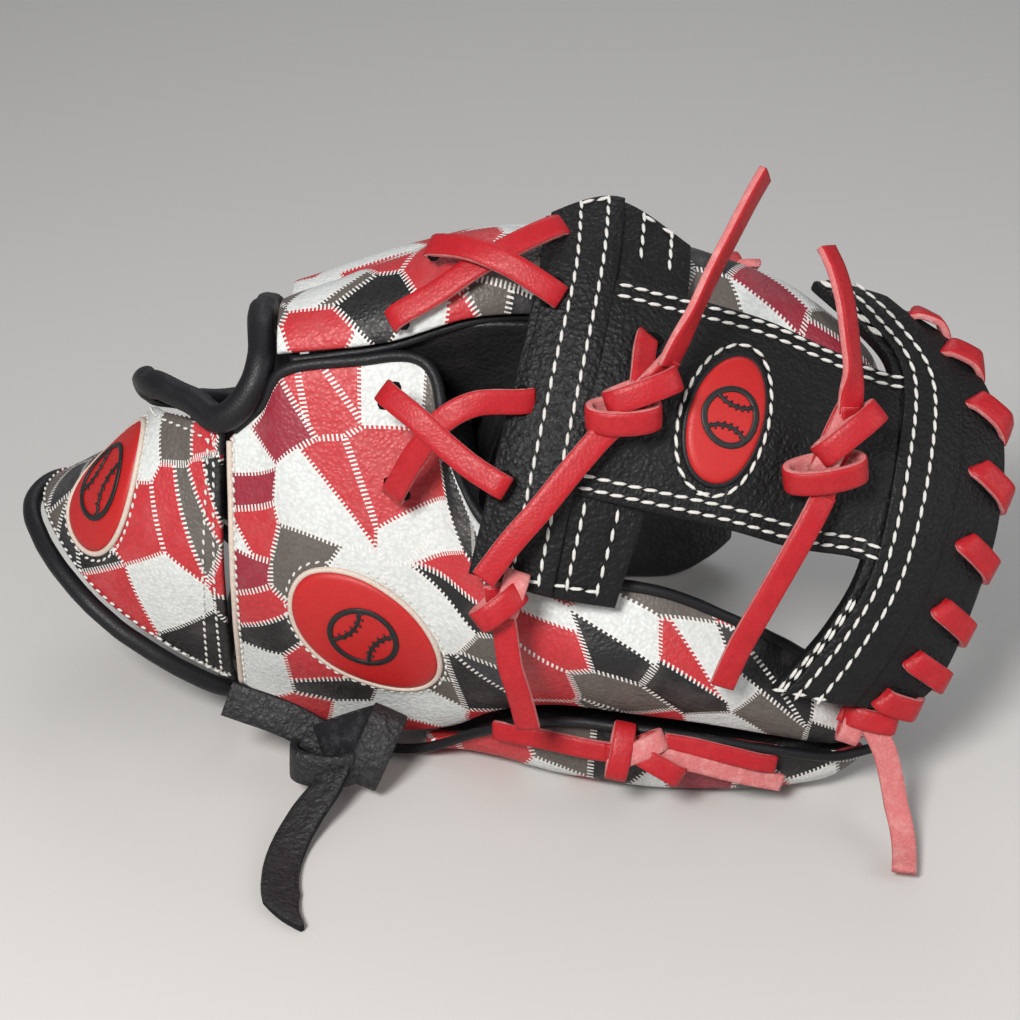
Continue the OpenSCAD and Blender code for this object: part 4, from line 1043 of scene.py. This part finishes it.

# %% [markdown]
# Between the thumb and the index finger the palm's leather turns up into the crotch, and
# above the palm it runs on to the roots of the fingers. These soft webs of leather close
# the pocket from behind. The crotch's, which joins two bodies, is left where it is, on no body.

# %% Leather that closes the pocket
CROTCH = [
    [[-56, -21.5, 104], [-38, -21.5, 106.5], [-24, -21.5, 106], [-16, -31, 93], [-9, -40, 76],
     [2, -46.5, 68], [12, -48, 63]],
    [[-50, -17, 101], [-36, -16, 103], [-23, -15, 100], [-15, -20, 88], [-10, -25, 72], [-2, -30, 62],
     [8, -36, 57]],
    [[-44, -11, 99], [-32, -9, 101], [-20, -7, 98], [-10, -9, 85], [-8, -9, 68], [-9, -10, 54],
     [-11, -12, 42]]]
crotch = sheet("crotch_web_leather", CROTCH, FOLD_T, puff=0.3, wrinkle=0.8, seed=25, cell=2.0,
               materials=[palm_hide])
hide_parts("palm_leather")
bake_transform(crotch)
ROOTS = [
    [[-38, -19.5, 110.5], [-24, -19, 114], [-10, -19.5, 117.5], [2, -19.5, 118], [14, -17, 115.5]],
    [[-36, -17, 104], [-22, -16, 105], [-9, -15, 107], [1, -15, 108], [8, -14, 106]],
    [[-32, -9, 98], [-18, -6, 90], [-9, -9, 91], [-3, -10, 90], [1, -12, 88]]]
roots = sheet("index_root_leather", ROOTS, FOLD_T, puff=0.2, wrinkle=0.5, seed=26, cell=2.0,
              materials=[palm_hide])
ride("hand_shell", ["index_front"], roots)
PALM_TOP = [[[x - 4 * w * (1 - w) * 2, y + width * w, z - drop * w * w] for w in np.linspace(1, 0, 5)]
            for x, y, width, z, drop in ((1, -17, 67, 95.5, 30), (3, -17.5, 68, 102, 29),
                                         (7, -17.5, 69, 107.5, 28))]
palm_top = sheet("palm_top_leather", PALM_TOP, PALM_TOP_T, puff=0.2, wrinkle=0.4, seed=27, cell=2.0,
                 materials=[palm_hide])
ride("hand_shell", ["palm_leather"], palm_top)
print("folds of leather", 3)

# %% [markdown]
# The little finger is made as the thumb is: a printed back, a black front, a welt along
# the edge it rests on, and a board inside.

# %% Little finger
little_back = sheet("little_back_leather", LITTLE, SHELL_T, puff=0.5, wrinkle=0.4, seed=31,
                    shift=(500, 100), materials=[patchwork])
little_front = sheet("little_front_leather", LITTLE_FRONT, SHELL_T, puff=0.3, wrinkle=0.4, seed=32,
                     materials=[palm_hide])
little_board = sheet("little_board", LITTLE, BOARD_T, -SHELL_T - GAP, (0.3, 0.85), (0.2, 0.8), 2.6, 0, 0,
                     33, materials=[board])
LITTLE_WELT = [[-46, 54.6, 5], [-18, 60.9, 3.2], [8, 65.9, 2.7], [32, 69.9, 2.7], [48, 70.1, 3],
               [60, 67.2, 6], [67.5, 64, 13]]
little_welt = sweep("little_welt_cord", LITTLE_WELT, disc(1.3, 12), [0, 0, 1], 1.2,
                    materials=[black_smooth], wander=0.15)
for slot_name, node_name, piece in (("patchwork_leather", "little_back", little_back),
                                    ("black_leather", "little_front", little_front),
                                    ("stiffener_board", "little_stiffener", little_board),
                                    ("black_leather", "little_welt", little_welt)):
    ride("little_finger", [node_name], piece)
print("the little finger's welt is", round(length_of(np.array(LITTLE_WELT))), "mm long")

# %% [markdown]
# The roll round the back opening is soft leather filled with foam. Its skin is made a
# little too small, and then blown up from inside by a cloth simulation, as the filling
# does. It stays close to its route, because each point may move only a little way.

# %% A cloth simulation that fills a padded piece
PUMP_FRAMES = 12
ROLL_PRESSURE, ROLL_SWELL = 400.0, 0.6    # the swell is in mm


def pumped(piece, pressure, most):
    """Swell a closed padded piece with cloth, moving no point further than most, in mm."""
    before = np.empty(len(piece.data.vertices) * 3)
    piece.data.vertices.foreach_get("co", before)
    cloth = piece.modifiers.new("filling", "CLOTH")
    settings = cloth.settings
    settings.quality = 6
    settings.mass = 0.02
    settings.tension_stiffness = settings.compression_stiffness = 25
    settings.bending_stiffness = 1.5
    settings.use_pressure = True
    settings.uniform_pressure_force = pressure
    settings.effector_weights.gravity = 0
    cloth.point_cache.frame_start, cloth.point_cache.frame_end = 1, PUMP_FRAMES
    for frame_number in range(1, PUMP_FRAMES + 1):
        bpy.context.scene.frame_set(frame_number)
    shaped = piece.evaluated_get(bpy.context.evaluated_depsgraph_get()).data
    after = np.empty(len(shaped.vertices) * 3)
    shaped.vertices.foreach_get("co", after)
    piece.modifiers.remove(cloth)
    bpy.context.scene.frame_set(1)
    moved = np.nan_to_num(after - before).reshape(-1, 3)
    far = np.linalg.norm(moved, axis=1, keepdims=True)
    capped = moved * np.minimum(1, most * MM / np.maximum(far, 1e-12))
    piece.data.vertices.foreach_set("co", (before.reshape(-1, 3) + capped).ravel())
    piece.data.update()
    print(piece.name, "filling moved its skin by", round(float(far.mean() / MM), 2), "mm on average")


print("frames of filling", PUMP_FRAMES)

# %% [markdown]
# A thin black binding closes the strap's lower edge, and the padded roll goes round the
# opening in the back. Both are closed loops.

# %% Wrist binding and back roll
BINDING = [[-74.5, -20, 11], [-90, -25, 23.5], [-109, -19, 36.5], [-123.5, -3, 46], [-129, 14, 49],
           [-123.5, 31, 47], [-109, 46, 36.5], [-90, 51, 23.5], [-76.5, 48, 10.5], [-78, 32, 9],
           [-78, 14, 8.5], [-78, -4, 9], [-74.5, -20, 11]]
binding = sweep("wrist_binding_roll", BINDING, disc(2.4, 16), [0.3, 0.1, 1], 1.5, closed=True,
                materials=[black_smooth], wander=0.25)
ride("hand_shell", ["wrist_binding"], binding)
ROLL = [[-71, -24, 94], [-80, -16.5, 95.5], [-89, -8, 94.5], [-93, 3, 90], [-94.5, 14, 82.5], [-93, 27, 74],
        [-88, 39, 67], [-80, 47, 62.5], [-70, 51.5, 63], [-63, 50, 72], [-62, 40, 89], [-62, 25, 100.5],
        [-62, 8, 108], [-61.5, -7, 111], [-60.6, -18.5, 107.5], [-63.8, -23.8, 100], [-71, -24, 94]]
roll = sweep("back_opening_pad", ROLL, disc(3.7, 24), [0.2, 0.1, 1], 1.2, closed=True,
             materials=[black_smooth], wander=0.35)
pumped(roll, ROLL_PRESSURE, ROLL_SWELL)
ride("hand_shell", ["back_opening_roll"], roll)

# %% [markdown]
# The web is three straps of thick black hide: a base bar along the crotch, a post, and a
# top bar that joins the tips of the thumb and the index finger. A facing of thinner hide
# is sewn over each bar and covers the post's two ends.

# %% Web
web_body = [
    sheet("web_base_leather", BASE_BAR, BASE_BAR_T, puff=0.2, wrinkle=0.5, seed=41, cell=1.5,
          materials=[black_grain]),
    sheet("web_post_leather", POST, POST_T, puff=0.9, wrinkle=0.4, seed=42, cell=1.4,
          materials=[black_grain]),
    sheet("web_top_leather", TOP_BAR, TOP_BAR_T, puff=0.3, wrinkle=0.5, seed=43, cell=1.5,
          materials=[black_grain])]
for piece, name in zip(web_body, ("web_base_bar", "web_center_post", "web_top_bar")):
    ride("web", [name], piece)
facings = [
    sheet("web_base_facing", BASE_BAR, BASE_FACING_T, 1.7, (0.015, 0.985), (0.10, 0.545), puff=0.25,
          wrinkle=0.3, seed=44, cell=1.4,
          edge=0.55, materials=[black_grain]),
    sheet("web_top_facing", TOP_BAR, TOP_FACING_T, 1.15, (0.01, 0.99), (0.10, 0.56), puff=0.25, wrinkle=0.3,
          seed=45, cell=1.4,
          edge=0.5, materials=[black_grain])]
for piece, name in zip(facings, ("web_base_bar", "web_top_bar")):
    ride("web", [name], piece)
print("web straps and facings", len(web_body) + len(facings))

# %% [markdown]
# The whip lace goes through a hole in the top bar's face, over the outer edge and back
# through from behind, eight times. One rule gives every turn, so one loop makes them.

# %% Whip lace over the web's edge
TURNS = 8


def edge_turn(k):
    u = 0.06 + 0.88 * k / (TURNS - 1)
    stations = [(0, 0.70, -0.6), (0.004, 0.725, 1.5), (0.011, 0.86, 2.1), (0.016, 0.965, 1.7)]
    points = [lifted(TOP_BAR, np.array(u + du), np.array(v), np.array(h)) for du, v, h in stations]
    ups = [facing(TOP_BAR, u + du, v) for du, v, h in stations]
    out = unit(on(TOP_BAR, u + 0.02, 1.0) - on(TOP_BAR, u + 0.02, 0.94))
    normal = facing(TOP_BAR, u + 0.02, 0.98)
    rim = on(TOP_BAR, u + 0.02, 1.0)
    points.append(rim + out * 2.0 - normal * 1.8)
    ups.append(out)
    for du, v, h in ((0.025, 0.95, -5.3), (0.031, 0.84, -5.4), (0.036, 0.72, -3.8)):
        points.append(lifted(TOP_BAR, np.array(min(u + du, 1)), np.array(v), np.array(h)))
        ups.append(-facing(TOP_BAR, min(u + du, 1), v))
    return red_lace(f"edge_turn_{k}", points, ups, 0.7, width=6.2)


ride("web", ["web_edge_lace"], join("web_edge_lacing", [edge_turn(k) for k in range(TURNS)]))
print("turns over the edge", TURNS)


# %% [markdown]
# Two pairs of laces cross in the crotch and tie the web to the index finger and to the
# thumb. Where a lace ends it dips into a hole, so its route gets one more point inside
# the leather at each end.

# %% Crotch lacing
def through(route, ups, sink=1.6, **more):
    """A lace whose two ends dip into their holes."""
    route = np.asarray(route, float)
    ups = np.asarray(ups, float)
    first, last = route[0] - unit(ups[0]) * sink, route[-1] - unit(ups[-1]) * sink
    route = np.concatenate([[first - 0.3 * (route[1] - route[0])], route,
                            [last + 0.3 * (route[-1] - route[-2])]])
    ups = np.concatenate([ups[:1], ups, ups[-1:]])
    return red_lace("strand", route, ups, **more)


UPPER = [([[-26, -25.5, 122.5], [-17, -24, 127.5], [-8, -21.5, 133], [2, -17, 137], [10, -12.5, 139]],
          [[-0.3, -0.75, 0.6]] * 2 + [[-0.2, -0.7, 0.7]] * 3),
         ([[-17, -16, 136], [-9, -22, 137.5], [0, -26.5, 135.5], [9, -29, 130.5]],
          [[-0.2, -0.6, 0.8]] * 2 + [[-0.1, -0.8, 0.6]] * 2)]
LOWER = [([[-27, -47, 87], [-22, -48.5, 97], [-16, -48.5, 105.5], [-8, -47, 109.5], [2, -45, 109]],
          [[-0.4, -0.9, 0.1]] * 2 + [[-0.3, -0.9, 0.3]] * 3),
         ([[-28, -42.5, 109], [-21.5, -48, 106], [-15, -51.5, 101], [-9, -54.5, 97], [-3, -58, 94.5]],
          [[-0.2, -0.9, 0.5]] * 5)]
ride("web", ["crotch_lace_upper"], join("crotch_lacing_upper",
                                                    [through(*pair) for pair in UPPER]))
ride("web", ["crotch_lace_lower"], join("crotch_lacing_lower",
                                                    [through(*pair) for pair in LOWER]))
print("crossed laces", len(UPPER + LOWER))

# %% [markdown]
# An overhand knot in flat lace shows two or three bands that wrap round the rest. Each
# band is one loop of the same strip, turned its own way. Where the strip twists over,
# its pale raw side faces out. The loops are drawn in the plane that faces the front.

# %% A knot from its bands
FRONT, RIGHT, UP = np.array([0, -0.87, 0.5]), np.array([1.0, 0, 0]), np.array([0, 0.5, 0.87])


def band(place, tilt, reach, depth, lean=10, raw=False, width=RED_W, t=RED_T, made_of=RED_LACE):
    """One loop of lace. tilt turns its long way, lean tips its front down."""
    turn, tip = math.radians(tilt), math.radians(lean)
    long_way = RIGHT * math.cos(turn) + UP * math.sin(turn)
    out = FRONT * math.cos(tip) - UP * math.sin(tip)
    out = unit(out - long_way * out.dot(long_way))
    a = np.linspace(0, 2 * math.pi, 17)[:, None]
    flat = np.sign(np.sin(a)) * np.abs(np.sin(a)) ** 0.8
    loop = np.asarray(place) + long_way * reach * np.cos(a) + out * depth * flat
    ways = unit(long_way * np.cos(a) / reach + out * np.sin(a) / depth) * (-1 if raw else 1)
    return sweep("band", loop, strip(width, t), ways, 0.8, closed=True, materials=made_of,
                 face_of=LACE_FACE)


def knot(name, node_name, body, bands, core, core_ups, extra=(), width=RED_W, t=RED_T, made_of=RED_LACE):
    parts = [band(*b, width=width, t=t, made_of=made_of) for b in bands]
    parts.append(sweep("core", core, strip(width * 0.95, t * 1.3, 0.5), core_ups, 0.8, materials=made_of,
                       face_of=LACE_FACE))
    return ride(body, [node_name], join(name, parts + list(extra)))


print("a lace's smooth face has", int((LACE_FACE == 0).sum()), "of", len(LACE_FACE), "sides")

# %% [markdown]
# The web has a knot on its post and one at the end of its top bar. The first one's lace
# comes out of a hole in the post just behind the knot, so that end is drawn too.

# %% The web's knots
POST_HOLE = lifted(POST, np.array(0.29), np.array(0.32), np.array(0.0))
post_strand = red_lace("strand", [POST_HOLE + [0.2, 1.6, 0.6], POST_HOLE + [-0.1, -1.8, 1.2],
                                  [31.2, -39.5, 119.4], [30.6, -45, 117.8], [30, -49.5, 115.2]],
                       [[0.25, -0.75, 0.6]] * 5, width=5.6)
knot("post_lace_knot", "post_knot", "web", [([30.3, -51.6, 115.2], 20, 8.2, 3.7, 10),
                                            ([26.0, -52.6, 109.4], 2, 7.9, 4.5, 28)],
     [[37, -47.6, 121.5], [33.3, -48.3, 117.2], [30.4, -50.8, 114.5], [26.8, -52.2, 110],
      [23.8, -54.2, 107.9]], [[0.5, -0.8, 0.0]] * 2 + [[0.1, -0.9, 0.4]] * 3, extra=[post_strand])
knot("top_bar_lace_knot", "top_bar_knot", "web", [([78.2, -52.2, 104.6], 39, 8.4, 3.6, 5),
                                                  ([73.1, -54.2, 95.3], 9, 9.0, 4.6, 28),
                                                  ([75.4, -50.9, 102.2], 66, 8.2, 2.9, 5, True)],
     [[78.4, -49.2, 110], [78.1, -50, 106.5], [77, -51.8, 102.5], [74.3, -54, 96], [72.6, -56.8, 90.2]],
     [[0.4, -0.9, 0.1]] * 2 + [[0.1, -0.9, 0.4]] * 3)

# %% [markdown]
# The thumb carries the rest: the knot under the web's base with its short end, the lace
# along the thumb's lower seam with its knot, and the small knot at the thumb's tip.

# %% The thumb's knots
BASE_TAIL = [[-2.2, -67.2, 66], [-1.2, -67.6, 61], [0, -69.5, 52], [1.5, -70, 46.5], [3, -69.5, 40],
             [4.3, -69, 33.5]]
base_end = red_lace("strand", BASE_TAIL, [-0.25, -1, 0.1])
knot("base_lace_knot", "base_knot", "thumb",
     [([-2.6, -67.6, 67.2], 37, 5.8, 3.5, 12), ([0.4, -66, 69.6], 72, 4.6, 2.2, 5, True)],
     [[-3.4, -66, 72], [-2.6, -67, 67], [-1.4, -67.8, 62]], [0, -0.9, 0.3], extra=[base_end])
THUMB_LACE = [[-4, -44.5, 15], [8, -51, 17], [20, -56, 17.5], [28, -59, 18.5], [35, -60.5, 19.5]]
THUMB_LACE_END = [[34, -61.4, 20.6], [39, -61.8, 19.2], [47, -61.2, 16.6], [57.3, -59.8, 12.4],
                  [68, -57.4, 8.2]]
THUMB_LACE_INSET = [[38, -60, 22.6], [45, -59.9, 21.2], [54.5, -59.9, 18.5], [62, -59.2, 15.8],
                    [66, -57.6, 14.2]]
thumb_strands = [red_lace("strand", THUMB_LACE, [0, -1, 0.25], width=5.2),
                 red_lace("strand", THUMB_LACE_END, [0.05, 0.95, -0.3], width=4.6),
                 red_lace("strand", THUMB_LACE_INSET, [0, -0.95, 0.4], width=4.6)]
knot("thumb_lace_and_knot", "thumb_lace", "thumb", [([27.2, -61, 20.6], 79, 6.4, 3.3, 5),
                                                    ([35.4, -61.6, 18.2], -31, 7.4, 3.2, 8),
                                                    ([32.5, -61, 21.6], 24, 5.4, 2.4, 5, True)],
     [[24, -58.5, 18.5], [30, -60.6, 19.4], [37, -60.8, 18.8]], [0, -0.95, 0.3], extra=thumb_strands,
     width=5.4)
knot("thumb_tip_lace_knot", "thumb_tip_knot", "thumb",
     [([88.2, -60.6, 30.2], -13, 5.8, 2.9, 10), ([83.9, -59.6, 28.2], 72, 4.4, 2.6, 5, True)],
     [[81, -58.4, 31], [85.5, -60.2, 29.6], [89.3, -62, 27.6]], [0.1, -0.9, 0.4], width=5.4)

# %% [markdown]
# The tie at the heel is a wide black strip. Its arm goes back round the heel and crosses
# the hinge, so it is a piece of its own, left on no body, and the knot stays on the thumb.

# %% The heel tie
TIE_BACK = [[-41, -48.5, 12.5], [-47.5, -47.5, 14.5], [-55, -46, 18.5], [-63, -44.8, 21.5],
            [-71.5, -43.6, 24.4]]
tie_arm = sweep("heel_tie_arm", TIE_BACK, strip(TIE_W, TIE_T), [0, -0.9, 0.4], 0.8, materials=TIE_LACE,
                face_of=LACE_FACE, wander=0.3)
bend(["heel_tie_knot"], tie_arm)
knot("heel_tie_lace_knot", "heel_tie_knot", "thumb", [([-46.6, -50.4, 10.0], -3, 8.2, 5.6, 24),
                                                      ([-34.2, -48.4, 12.6], 66, 9.4, 4.4, 4),
                                                      ([-40.5, -47, 16.2], 18, 7.6, 3.4, 0, True)],
     [[-46, -49.5, 13], [-43, -51.5, 11], [-43.6, -54.2, 10.6]], [0, -0.95, 0.35], width=TIE_W, t=TIE_T,
     made_of=TIE_LACE)
print("the tie's arm is", round(length_of(np.array(TIE_BACK))), "mm long")


# %% [markdown]
# A lace goes into the leather through a punched hole. What shows of it is a slit in shade
# with a rolled edge beside the lace, so each hole is a small near-black ring with a strip of
# painted shade across it.

# %% Punched holes
def punched(places, name, body):
    """Rims of the holes where a lace goes into the leather, each with a strip of painted shade across it
    for the slit: place, way out, way along, half sizes.
    """
    rims = []
    for place, out, along, long_half, short_half in places:
        out = unit(out)
        along = unit(np.asarray(along, float) - out * np.dot(out, along))
        across = np.cross(out, along)
        a = np.linspace(0, 2 * math.pi, 25)[:-1]
        ring = np.asarray(place) + np.outer(np.cos(a) * long_half,
                                            along) + np.outer(np.sin(a) * short_half, across)
        rims.append(sweep("rim", np.concatenate([ring, ring[:1]]), disc(0.55, 8), out, 0.8, closed=True,
                          materials=[painted_hole_shade]))
        # the strip across the ring is painted shade where the slit is; the ring is the rolled edge in the
        # same near-black
        rims.append(sweep("rim", np.array([place - along * long_half * 0.8, place,
                                           place + along * long_half * 0.8]),
                          strip(short_half * 1.6, 0.7, 0.2), out, 0.8, materials=[painted_hole_shade]))
    piece = join(name, rims)
    return ride(body, [], piece)


def end_holes(pairs):
    """A hole under both ends of every lace that dips in."""
    found = []
    for route, ups in pairs:
        route, ups = np.asarray(route, float), np.asarray(ups, float)
        for k, other in ((0, 1), (-1, -2)):
            way, out = unit(route[k] - route[other]), unit(ups[k])
            found.append((route[k] - out * 1.1 + way * 0.6, out, np.cross(out, way), 3.4, 1.5))
    return found


post_face = facing(POST, 0.29, 0.32)
holes = end_holes(UPPER + LOWER) + [(POST_HOLE + post_face * 1.15, post_face, [1, 0.1, -0.1], 3.3, 1.5)]
punched(holes, "web_lace_holes", "web")
print("holes", len(holes))

# %% [markdown]
# Behind the web a lace ties the three finger stalls to each other near their tips.

# %% Finger lacing
FINGER_LACE = [[60.7, 12, 119.4], [60, 17, 115], [60, 23, 109], [59, 32, 109.5], [58, 41, 109],
               [57, 49, 103], [56.5, 55, 94], [56, 62, 86]]
ride("hand_shell", ["finger_lace"], red_lace("finger_lacing", FINGER_LACE, [0, 0.2, 1]))
print("the finger lace is", round(length_of(np.array(FINGER_LACE))), "mm long")

# %% [markdown]
# The three oval patches are domed red leather with a thin piping round them. The strap's
# and the thumb's piping is cream and the web's is black.

# %% Patches
# a net, the place on it, both radii in mm, and the tilt in degrees
STRAP_PATCH = (STRAP, 0.32, 0.48, 14, 17, 6)
THUMB_PATCH = (THUMB, 0.25, 0.395, 22.5, 15.9, -40)
WEB_PATCH = (POST, 0.53, 0.47, 14.8, 9.3, -8)
for label, spec, body, base, size in (("strap", STRAP_PATCH, "hand_shell", 1.5, 9.0),
                                      ("thumb", THUMB_PATCH, "thumb", 1.6, 8.6),
                                      ("web", WEB_PATCH, "web", 1.9, 6.4)):
    net, u, v, ru, rv, tilt = spec
    patch = oval(label + "_patch_oval", net, u, v, ru, rv, tilt, PATCH_T, base, 0.35, materials=[patch_red])
    ink = badge(label + "_patch_badge", net, u, v, size, tilt, base + 0.45)
    edging = black_smooth if label == "web" else cream
    rim = ring_on(label + "_patch_piping", net, u, v, ru, rv, tilt, 1.03, 0.8, 0.75, edging)
    for piece in (patch, ink, rim):
        if label == "thumb":
            bend(["thumb_patch"], piece)
        else:
            ride(body, [label + "_patch"], piece)
print("patches", 3)

# %% [markdown]
# The shell's seams are sewn in fine stitches along the strap's edges, round its patch and
# where the thumb is joined to it, with a cream piping in that seam.

# %% Stitch rows of the shell
FINE_STITCH = (2.5, 1.8, 0.75, 0.25)      # pitch, length, width and slant
COARSE_STITCH = (3.7, 3.7, 0.95, 0.13)
shell_rows = [oval_row(*STRAP_PATCH, 1.13, 0.6),
              line_on(STRAP, 0.02, 0.055, 0.98, 0.055, 0.5), line_on(STRAP, 0.02, 0.945, 0.98, 0.945, 0.5),
              line_on(STRAP, 0.028, 0.06, 0.028, 0.95, 0.5), line_on(STRAP, 0.055, 0.06, 0.055, 0.95, 0.55),
              line_on(STRAP, 0.972, 0.06, 0.972, 0.95, 0.5), line_on(STRAP, 0.945, 0.06, 0.945, 0.95, 0.55)]
ride("hand_shell", [], stitches("strap_stitches", shell_rows, *FINE_STITCH))
thumb_rows = [oval_row(*THUMB_PATCH, 1.13, 0.65), line_on(THUMB, 0.018, 0.06, 0.018, 0.97, 0.4)]
bend([], stitches("thumb_stitches", thumb_rows, *FINE_STITCH))
piping = sweep("strap_seam_piping", lifted(THUMB, np.full(20, 0.004), np.linspace(0.03, 0.98, 20),
                                           np.full(20, 0.2)), disc(0.8, 10), [0, -1, 0.1], 1.2,
               materials=[cream], wander=0.1)
ride("hand_shell", [], piping)

# %% [markdown]
# The web is sewn in coarse white thread: two rows and their ends on each facing, short
# rows where the bars' tips are folded, and two rows along each side of the post. A row
# is a list of u, a list of v and its height over the net.

# %% Stitch rows of the web
FACING_LIFT, BAR_LIFT = 2.0, 0.6
BASE_BAR_ROWS = [
    ((0.05, 0.5, 0.94), (0.30, 0.30, 0.30), FACING_LIFT),
    ((0.05, 0.5, 0.94), (0.45, 0.45, 0.45), FACING_LIFT),
    ((0.045, 0.045), (0.335, 0.42), FACING_LIFT), ((0.948, 0.948), (0.335, 0.42), FACING_LIFT),
    ((0.06, 0.21), (0.66, 0.66), BAR_LIFT), ((0.06, 0.21), (0.82, 0.82), BAR_LIFT),
    ((0.055, 0.055), (0.69, 0.80), BAR_LIFT),
    ((0.78, 0.94), (0.62, 0.62), BAR_LIFT), ((0.78, 0.94), (0.80, 0.80), BAR_LIFT),
    ((0.947, 0.947), (0.58, 0.77), BAR_LIFT)]
web_rows = [row_on(BASE_BAR, us, vs, lift) for us, vs, lift in BASE_BAR_ROWS]
for side in (0.06, 0.125, 0.875, 0.94):
    web_rows.append(line_on(POST, side, 0.19, side, 0.93, 0.9))
web_rows.append(oval_row(*WEB_PATCH, 1.2, 1.25))
for v in (0.19, 0.33):
    web_rows.append(row_on(TOP_BAR, (0.02, 0.5, 0.98), (v, v, v), 1.5))
for v in (0.02, 0.07):
    for ends in ((0.04, 0.22), (0.76, 0.97)):
        web_rows.append(row_on(TOP_BAR, ends, (v + 0.01, v + 0.01), BAR_LIFT))
web_rows.append(row_on(TOP_BAR, (0.98, 0.98), (0.03, 0.33), 1.2))
ride("web", [], stitches("web_stitches", web_rows, *COARSE_STITCH))

# %% [markdown]
# A pale floor and soft studio light. The main light stands above and to the left of the
# camera, so the shadows fall softly to the right and behind. A dimmer one fills the
# other side, and the surroundings are an even light grey.

# %% Floor
floor_mesh = bpy.data.meshes.new("floor")
floor_mesh.from_pydata([(-3, -2, 0), (3, -2, 0), (3, 4, 0), (-3, 4, 0)], [], [(0, 1, 2, 3)])
floor = bpy.data.objects.new("floor", floor_mesh)
bpy.context.scene.collection.objects.link(floor)
floor_look, t, shader = material("floor", 0.6, 0.3)
shader.inputs["Base Color"].default_value = (0.58, 0.57, 0.555, 1)
floor_mesh.materials.append(floor_look)
print("floor", len(floor_mesh.polygons), "face")


# %% Lights
def area_light(name, place, size, power, colour=(1, 1, 1)):
    data = bpy.data.lights.new(name, "AREA")
    data.shape, data.size, data.energy, data.color = "DISK", size, power, colour
    lamp = bpy.data.objects.new(name, data)
    bpy.context.scene.collection.objects.link(lamp)
    lamp.location = place
    lamp.rotation_euler = (Vector((0, 0, 0.05)) - Vector(place)).to_track_quat("-Z", "Y").to_euler()


area_light("key", (-0.22, -0.62, 0.62), 0.22, 8.0, (1.0, 0.985, 0.96))
area_light("fill", (0.75, -0.35, 0.45), 0.6, 2.0)
area_light("back", (0.1, 0.8, 0.9), 0.7, 2.5, (0.95, 0.97, 1.0))
world = bpy.data.worlds.new("surroundings")
bpy.context.scene.world = world
world.use_nodes = True
background = world.node_tree.nodes["Background"]
background.inputs["Color"].default_value = (0.80, 0.81, 0.83, 1)
background.inputs["Strength"].default_value = 0.30
bpy.context.scene.view_settings.view_transform = "Standard"
print("lights", len(bpy.data.lights))
